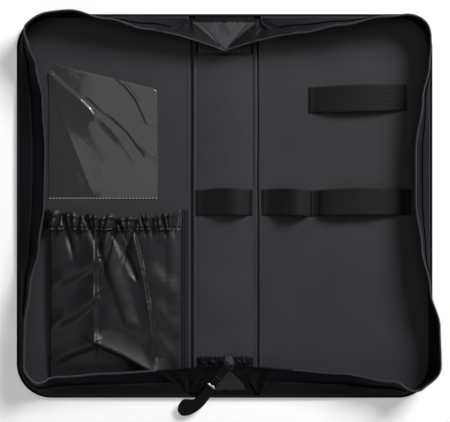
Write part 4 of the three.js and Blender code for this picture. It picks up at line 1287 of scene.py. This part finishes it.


# a fold is crushed black nylon, darkened as painted shade, beside the gusset, which shows grey at the top,
# and the wall's own cloth and zip tape beside the lid
def paintFold(cloth, far):
    for name in ("gussetNylon", "blackNylonPlain", "wovenZipTape"):
        cloth.data.materials.append(surfaces[name])
    for face in cloth.data.polygons:
        x, y = abs(face.center.x) / mm, halfLength - wallInset - far * face.center.y / mm
        rise = max(0.0, y * wallHeight / caseSizes["endLean"])
        spineX = endSizes["gussetHalf"] * max(0.0, 1 - rise / apexRise)
        lidX = foldX + caseSizes["mitreGap"] + rise * wallHeight / apexRise
        share = (x - spineX) / (lidX - spineX)
        if share > endSizes["wallShare"] + 0.12 * swell(rise, far * 9.0, 1.0, 5):
            face.material_index = 2 if rise < caseSizes["wallClothHeight"] else 3
        elif far > 0 and rise > endSizes["footBand"]:
            edge = foldX * max(0.0, 1 - rise / apexRise) + endSizes["greyReach"]
            face.material_index = 1 if x < edge else 0


def makeCornerFolds():
    for far, word in endWord.items():
        for side, lidName in lidWord.items():
            grid = gridOf(40, 40, lambda u, v: foldPoint(far, side, u, v))
            if side * far > 0:
                grid = [row[::-1] for row in grid]
            name = "%s_%s_fold" % (word, lidName)
            # the folds' crushed nylon is darkened as painted shade
            cloth = clothSheet(name + "_cloth", grid, endSizes["foldThick"], surfaces["crushedNylonPaintedShade"])
            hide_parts(name)
            paintFold(cloth, far)
            bendAtFold(cloth, side, *endSizes["bend"])


# the zip's coil runs on along the corner folds' rim to each gusset's apex
def makeEndCoils():
    start = caseSizes["mitreGap"] + wallHeight
    depth = coilOuter - caseSizes["coilThick"] / 2
    wide, high = endSizes["coilHalf"]
    for far, word in endWord.items():
        for side, lidName in lidWord.items():
            place, lean = lidPlace(side, start if far > 0 else edgeRun - start)
            rim = Vector(slopePoint(place, lean, liningTop, wallHeight - 1.0, depth))
            steps = endSizes["coilSteps"]
            axis = []
            for i in range(steps + 1):
                t = i / steps
                onCloth = foldPoint(far, side, 1 - t, 1.0) + Vector((0, -far * 0.6, 1.0))
                axis.append(rim.lerp(onCloth, smooth(t / 0.3)))
            run = sum((b - a).length for a, b in zip(axis, axis[1:]))
            turns = round(run / coilLook["pitch"])
            count = turns * coilLook["steps"]
            path = []
            for i in range(count + 1):
                t = i / count * steps
                k = min(steps - 1, int(t))
                spot = axis[k].lerp(axis[k + 1], t - k)
                turn = 2 * math.pi * i / coilLook["steps"]
                path.append(spot + Vector((0, far * wide * math.sin(turn), high * math.cos(turn))))
            # the top end's coil keeps its painted highlight; at the bottom end the coil takes the dark zip
            # tape's finish as painted shade
            coil = tubeMesh("%s_%s_fold_coil" % (word, lidName), path, coilLook["wire"], coilLook["sides"],
                            surfaces["nylonCoilPaintedHighlight" if far > 0 else "wovenZipTape"])
            bendAtFold(coil, side, *endSizes["bend"])


# dark cloth gathered over the zip tape's end: the spine's lining, a shade lighter as painted light, at the
# top, and the crushed nylon, darker as painted shade, at the bottom; with a row of stitches that holds the
# spine's lining
def makeTapeEnds():
    sizes = endSizes
    half = caseSizes["tapeEndWidth"] / 2
    start = halfLength - caseSizes["spineLiningEndInset"] + caseSizes["seamGap"]
    for far, word in endWord.items():

        def pointAt(u, v):
            x = half * (2 * u - 1)
            y = far * (start + (caseSizes["tapeEndLength"] + 1.5) * v)
            free = min(1, 8 * u * (1 - u)) * math.sin(math.pi * min(1, 0.12 + v))
            rough = 1.3 * swell(x, y, 21.0, 9) + 1.2 * abs(swell(x + y, y, 8.0, 6.5))
            rough += 0.3 * swell(x, y, 5.0, 3)
            return x, y, boardTop + 0.5 + free * (0.4 + sizes["crumple"][far] * (0.3 + rough))

        grid = gridOf(90, 20, pointAt)
        if far < 0:
            grid = [row[::-1] for row in grid]
        finish = surfaces["spineLiningPaintedLighter" if far > 0 else "crushedNylonPaintedShade"]
        cloth = clothSheet(word + "_tape_end_cloth", grid, sizes["tapeThick"], finish)
        settle(cloth, "spine", "zip_tape", word + "_tape_end")
        seamY = far * (start - sizes["stitchInset"])
        reach = half - 2

        def seamPoint(s):
            x = s - reach
            crown = liningLook["spineCrown"] * (1 - (x / (foldX - caseSizes["boardFoldGap"])) ** 2)
            return x, seamY, liningTop + crown + 0.1

        row = stitchRow(word + "_lining_end_stitches", seamPoint, 2 * reach,
                        surfaces["blackThread"], stitch=3.8, gap=1.8, radius=0.62, lift=0.2)
        settle(row, "spine", "thread")


makeGussets()
makeCornerFolds()
makeEndCoils()
makeTapeEnds()
print("spine ends: gussets, corner folds and tape ends")


# slider, its bridge and the pull; the pull hangs from the bridge's bar and lies over the case's end
sliderSizes = {
    "x": 5, "y": -189.8175, "bottom": 16.56, "length": 16, "width": 13, "plate": 1.2, "slot": 2.4,
    "bevel": 0.35, "crownShare": 0.62, "crownShift": -0.4, "bridgeSpan": 8, "bridgeHeight": 6,
    "bridgeWire": 1.6, "bridgeSteps": 24, "turn": 38,
}
pullSizes = {
    "pivot": (5, -189.8175, 24.658), "drop": 12.5, "link": 21.2, "linkWidth": 11.5, "linkThick": 1.4,
    "eyeStart": 0.7, "eyeLength": 5.4, "neck": 22, "neckWidth": 9, "tabThick": 2.4, "ferrule": 33.5,
    "ferruleLength": 2.4, "ferruleWall": 0.6, "ferruleGap": 0.6, "ferruleLift": 0.3, "ferruleSteps": 40,
    "eyeEdge": 1.4, "stitchInset": 1.7,
    # the leaf's two edges, from its neck to its tip: along the pull, and aside of its middle line
    "rightEdge": [(0, 4.5), (12, 4.7), (26, 6.9), (37, 7.2), (48, 5.8), (58, 2.2), (64, -2.2), (66.4, -5.8)],
    "leftEdge": [(0, -4.5), (12, -4.6), (26, -4.6), (38, -4.8), (41.2, -6.5), (44.5, -10.6), (48.0, -14.4),
                 (54, -15.6), (60.6, -14.4), (65, -11), (66.4, -5.8)],
}


# a rounded slab from an outline of points: sides softened by a bevel, then a fine even surface
def bevelledPlate(name, outline, low, high, material, bevel, holes=()):
    mesh = bpy.data.meshes.new(name)
    build = bmesh.new()
    edges = []
    for loop in (outline, *holes):
        verts = [build.verts.new((x * mm, y * mm, low * mm)) for x, y in loop]
        edges += [build.edges.new((verts[i], verts[(i + 1) % len(verts)])) for i in range(len(verts))]
    filled = bmesh.ops.triangle_fill(build, edges=edges, use_beauty=True)
    faces = [g for g in filled["geom"] if isinstance(g, bmesh.types.BMFace)]
    if not holes:
        bmesh.ops.dissolve_faces(build, faces=faces)
        faces = list(build.faces)
    lifted = bmesh.ops.extrude_face_region(build, geom=faces)
    top = [g for g in lifted["geom"] if isinstance(g, bmesh.types.BMVert)]
    bmesh.ops.translate(build, verts=top, vec=(0, 0, (high - low) * mm))
    bmesh.ops.recalc_face_normals(build, faces=build.faces[:])
    build.to_mesh(mesh)
    build.free()
    mesh.materials.append(material)
    piece = bpy.data.objects.new(name, mesh)
    bpy.context.scene.collection.objects.link(piece)
    applyModifiers(piece, ("BEVEL", {"width": bevel * mm, "segments": 3, "limit_method": "ANGLE",
                                     "angle_limit": math.radians(50)}))
    piece.data.polygons.foreach_set("use_smooth", [True] * len(piece.data.polygons))
    return piece


def moveMesh(piece, matrix):
    piece.data.transform(matrix)
    return piece


# slider body seen from above: broad and round towards the zip's closed side, narrow at its nose
def sliderOutline(half, length):
    points = []
    for i in range(17):
        angle = math.pi + math.pi * i / 16
        points.append((half * math.cos(angle), -length / 2 + half + half * math.sin(angle)))
    shoulder = [(half, 1.0), (half * 0.88, 3.6), (half * 0.66, length / 2 - 1.2), (half * 0.5, length / 2)]
    return points + shoulder + [(-x, y) for x, y in reversed(shoulder)]


def makeSlider():
    sizes = sliderSizes
    low, plate, tip = sizes["bottom"], sizes["plate"], sizes["length"] / 2
    top = low + 2 * plate + sizes["slot"]
    place = Matrix.Translation((sizes["x"] * mm, sizes["y"] * mm, 0))
    outline = sliderOutline(sizes["width"] / 2, sizes["length"])
    post = [(-2.2, tip - 5), (2.2, tip - 5), (1.8, tip - 0.6), (-1.8, tip - 0.6)]
    crown = [(x * sizes["crownShare"], y * sizes["crownShare"] + sizes["crownShift"]) for x, y in outline]
    # two plates, the post between them and the crown on top; the upper plate stands for the solid
    for word, shape, start, end, bevel, replaced in (
            ("lower_plate", outline, low, low + plate, sizes["bevel"], []),
            ("upper_plate", outline, top - plate, top, sizes["bevel"], ["slider_body"]),
            ("post", post, low + 0.6, top - 0.6, 0.2, []),
            ("crown", crown, top - 0.3, top + 0.5, 0.38, [])):
        piece = bevelledPlate("slider_" + word, shape, start, end, surfaces["greyEnamelledZinc"], bevel)
        settle(moveMesh(piece, place), "spine", "slider_metal", *replaced)

    # the bridge: one bent wire, fixed in the top plate at both ends
    reach = sizes["bridgeSpan"] / 2 - sizes["bridgeWire"] / 2
    rise = sizes["bridgeHeight"] - sizes["bridgeWire"] / 2
    path = [Vector((-reach, 0, -0.4))]
    for i in range(sizes["bridgeSteps"] + 1):
        angle = math.pi * i / sizes["bridgeSteps"]
        x = -reach * math.copysign(abs(math.cos(angle)) ** 0.5, math.cos(angle))
        path.append(Vector((x, 0, rise * abs(math.sin(angle)) ** (1 / 1.9))))
    path.append(Vector((reach, 0, -0.4)))
    bridge = tubeMesh("slider_bridge_wire", path, sizes["bridgeWire"] / 2, 12, surfaces["greyEnamelledZinc"])
    turn = Matrix.Rotation(math.radians(90 - sizes["turn"]), 4, "Z")
    moveMesh(bridge, Matrix.Translation((sizes["x"] * mm, sizes["y"] * mm, top * mm)) @ turn)
    settle(bridge, "spine", "slider_metal", "slider_bridge")
    print("slider: body, crown and bridge")


# the pull's own frame: X along it from the pivot, Y to its right side
def pullMatrix():
    sizes = pullSizes
    place = Matrix.Translation([value * mm for value in sizes["pivot"]])
    turn = Matrix.Rotation(math.radians(-90 - sliderSizes["turn"]), 4, "Z")
    return place @ turn @ Matrix.Rotation(math.radians(sizes["drop"]), 4, "Y")


# a smooth line through points, with steps between each two
def smoothEdge(pairs, steps):
    out = []
    for i in range(len(pairs) - 1):
        p0, p1, p2, p3 = (pairs[max(0, min(len(pairs) - 1, i + k))] for k in (-1, 0, 1, 2))
        for s in range(steps):
            t = s / steps
            row = []
            for a, b, c, d in zip(p0, p1, p2, p3):
                row.append(0.5 * (2 * b + (c - a) * t + (2 * a - 5 * b + 4 * c - d) * t * t
                                  + (3 * b - a - 3 * c + d) * t ** 3))
            out.append(tuple(row))
    return out + [pairs[-1]]


# the length of a line up to each of its points
def lengthsAlong(line):
    total = [0.0]
    for a, b in zip(line, line[1:]):
        total.append(total[-1] + (Vector(b) - Vector(a)).length)
    return total


# the point of a line at a length along it
def pointAlong(line, total, want):
    k = 0
    while k < len(line) - 2 and total[k + 1] < want:
        k += 1
    return Vector(line[k]).lerp(Vector(line[k + 1]), (want - total[k]) / (total[k + 1] - total[k]))


def makePull():
    sizes = pullSizes
    matrix = pullMatrix()
    half, bar, neck = sizes["linkWidth"] / 2, sizes["linkThick"] / 2, sizes["neckWidth"] / 2

    # link: a stamped strap with an eye for the bridge
    outline = [(-bar, -half), (sizes["link"], -neck), (sizes["link"], neck), (-bar, half)]
    eyeStart, eyeHalf = sizes["eyeStart"], half - sizes["eyeEdge"]
    eyeEnd = eyeStart + sizes["eyeLength"]
    eye = [(eyeStart, -eyeHalf), (eyeStart, eyeHalf), (eyeEnd, eyeHalf), (eyeEnd, -eyeHalf)]
    link = bevelledPlate("pull_link_strap", outline, -bar, bar, surfaces["blackEnamelledSteel"], 0.3, [eye])
    settle(moveMesh(link, matrix), "pull_link", "slider_metal", "pull_link")

    # tab: leather leaf as a grid across its width, domed, thinner at its edge
    right = smoothEdge(sizes["rightEdge"], 8)
    left = smoothEdge(sizes["leftEdge"], 7)
    rightRun, leftRun = lengthsAlong(right), lengthsAlong(left)
    rows, count = 60, 16
    upper, lift = [], []
    for j in range(rows + 1):
        t = j / rows * 0.992
        rx, ry = pointAlong(right, rightRun, t * rightRun[-1])
        lx, ly = pointAlong(left, leftRun, t * leftRun[-1])
        row = []
        for i in range(count + 1):
            u = i / count
            row.append(Vector((sizes["neck"] + mix(rx, lx, u), mix(ry, ly, u), 0)))
            lift.append(0.45 + 0.55 * min(1.0, 5 * u * (1 - u) + 0.02) ** 0.5)
        upper.append(row)
    leaf = clothSheet("pull_leather_leaf", upper, sizes["tabThick"] * 0.96, surfaces["blackTannedLeather"],
                      thickAt=lift)
    settle(moveMesh(leaf, matrix), "pull_tab", "pull_tab", "pull_tab")

    # saddle stitches along both edges of the leaf
    for number, (edge, sign) in enumerate(((right, -1), (left, 1))):
        inward = sign * sizes["stitchInset"]
        path = []
        for i in range(len(edge) - 1):
            (ax, ay), (bx, by) = edge[max(0, i - 1)], edge[i + 1]
            size = math.hypot(bx - ax, by - ay)
            path.append(Vector((sizes["neck"] + edge[i][0] - (by - ay) / size * inward,
                                edge[i][1] + (bx - ax) / size * inward, sizes["tabThick"] / 2 - 0.25)))
        path = [p for p in path if p.x > sizes["ferrule"] + sizes["ferruleLength"] + 1.5][:-2]
        run = lengthsAlong(path)
        row = stitchRow("pull_leaf_stitches_%d" % (number + 1), lambda s: pointAlong(path, run, s), run[-1],
                        surfaces["blackThread"], stitch=2.4, gap=1.2, radius=0.24, lift=0.16)
        settle(moveMesh(row, matrix), "pull_tab", "thread")

    # ferrule: a rolled band round the neck
    halfY = neck + sizes["ferruleGap"] + sizes["ferruleWall"]
    halfZ = sizes["tabThick"] / 2 + sizes["ferruleLift"] + sizes["ferruleWall"]
    steps, length = sizes["ferruleSteps"], sizes["ferruleLength"]
    profile = [(0.0, -0.35), (0.35, 0.0), (length / 2, 0.12), (length - 0.35, 0.0), (length, -0.35),
               (length - 0.2, -0.6), (0.2, -0.6)]
    points, faces = [], []
    for i in range(steps):
        angle = 2 * math.pi * i / steps
        c, s = math.cos(angle), math.sin(angle)
        y = halfY * math.copysign(abs(c) ** 0.42, c)
        z = halfZ * math.copysign(abs(s) ** 0.42, s)
        size = math.hypot(y, z)
        for x, out in profile:
            points.append((sizes["ferrule"] + x, y + out * y / size, z + out * z / size))
    around = len(profile)
    for i in range(steps):
        here, ahead = i * around, (i + 1) % steps * around
        for k in range(around):
            after = (k + 1) % around
            faces.append((here + k, here + after, ahead + after, ahead + k))
    band = makeMesh("pull_ferrule_band", points, faces, surfaces["nickelPlatedBand"],
                    [(x, y) for x, y, z in points])
    settle(moveMesh(band, matrix), "pull_tab", "ferrule_metal", "pull_ferrule")
    print("pull: link, leaf, stitches and ferrule")


makeSlider()
makePull()


# covers: woven nylon over the boards, flat to their edges; a welt of cord in a bias strip runs round
coverLook = {"step": 5.0, "foldReach": 4.0, "foldSteps": 12, "weltTwist": 5.0, "weltSides": 10,
             "weltStep": 2.4, "weltPinch": 0.08, "foldPinch": 0.97}


def makeCovers():
    thick = caseSizes["coverThick"]
    middle = thick / 2
    reach = coverLook["foldReach"]
    for side, word in lidWord.items():
        grid = lidGrid(side, foldX + reach, 0, coverLook["step"], lambda x, y, edge: middle)
        cover = clothSheet(word + "_cover_cloth", grid, thick, surfaces["blackNylonOxford"], edgeRound=0.0)
        settle(cover, word + "_lid", "outer_cloth", word + "_cover")
    near = foldX - reach
    xs = liningMarks(-near, near, coverLook["step"])
    ys = liningMarks(-halfLength, halfLength, coverLook["step"])
    grid = [[Vector((x, y, middle)) for x in xs] for y in ys]
    cover = clothSheet("spine_cover_cloth", grid, thick, surfaces["blackNylonOxford"], edgeRound=0.0)
    settle(cover, "spine", "outer_cloth", "spine_cover")

    # the cover runs on over each fold: a strip of it lies there
    steps = coverLook["foldSteps"]
    for side, word in lidWord.items():
        xs = [side * foldX - reach + 2 * reach * i / steps for i in range(steps + 1)]
        strip = clothSheet(word + "_fold_cover", [[Vector((x, y, middle)) for x in xs] for y in ys], thick,
                           surfaces["blackNylonOxford"], edgeRound=0.0)
        bendAtFold(strip, side, reach, reach)


# the welt's cord: a round strip with the slight waists that its seam leaves
def makeWelt(name, placeAt, low, high, plain=False):
    count = round((high - low) / coverLook["weltStep"])
    path, radii = [], []
    radius = caseSizes["pipingDiameter"] / 2
    for i in range(count + 1):
        distance = low + (high - low) * i / count
        x, y, inX, inY = placeAt(distance)
        path.append(Vector((x + inX * radius, y + inY * radius, coverTop + caseSizes["seamGap"] + radius)))
        waist = 0.5 + 0.5 * math.sin(2 * math.pi * distance / coverLook["weltTwist"])
        pinch = coverLook["foldPinch"] if plain else 1 - coverLook["weltPinch"] * waist
        radii.append(radius * pinch)
    return tubeMesh(name, path, radius, coverLook["weltSides"], surfaces["grosgrainBinding"], radii)


def makeWelts():
    inset = coverLook["foldReach"]
    for side, word in lidWord.items():
        welt = makeWelt(word + "_welt", lambda d: edgePlace(side, d), inset, edgeRun - inset)
        settle(welt, word + "_lid", "piping", word + "_piping")
    for far, word in endWord.items():
        welt = makeWelt(word + "_spine_welt", lambda d: spineEndPlace(d, far), -foldX + inset, foldX - inset)
        settle(welt, "spine", "piping", word + "_spine_piping")
        for side, lidName in lidWord.items():
            middle = side * foldX
            bend = makeWelt("%s_%s_fold_welt" % (word, lidName), lambda d: spineEndPlace(d, far),
                            middle - inset, middle + inset, plain=True)
            bendAtFold(bend, side, inset, inset)


makeCovers()
makeWelts()
print("covers and welts")


# the zip coil's finish here is the one with the painted highlight
slotFinish = {
    "outer_cloth": "blackNylonPlain", "stiffener": "pressedFibreBoard", "lining": "coatedLiningCloth",
    "piping": "grosgrainBinding", "zip_tape": "wovenZipTape", "zip_coil": "nylonCoilPaintedHighlight",
    "elastic": "ribbedElastic", "pocket_cloth": "satinNylon", "thread": "blackThread", "film": "clearVinyl",
    "slider_metal": "blackEnamelledSteel", "ferrule_metal": "nickelPlatedBand",
    "pull_tab": "blackTannedLeather",
}
for row in frame["record"]["subparts"]:
    slots = nodes[row["node"]].data.materials
    slots.clear()
    slots.append(surfaces[slotFinish[row["material_slot"]]])
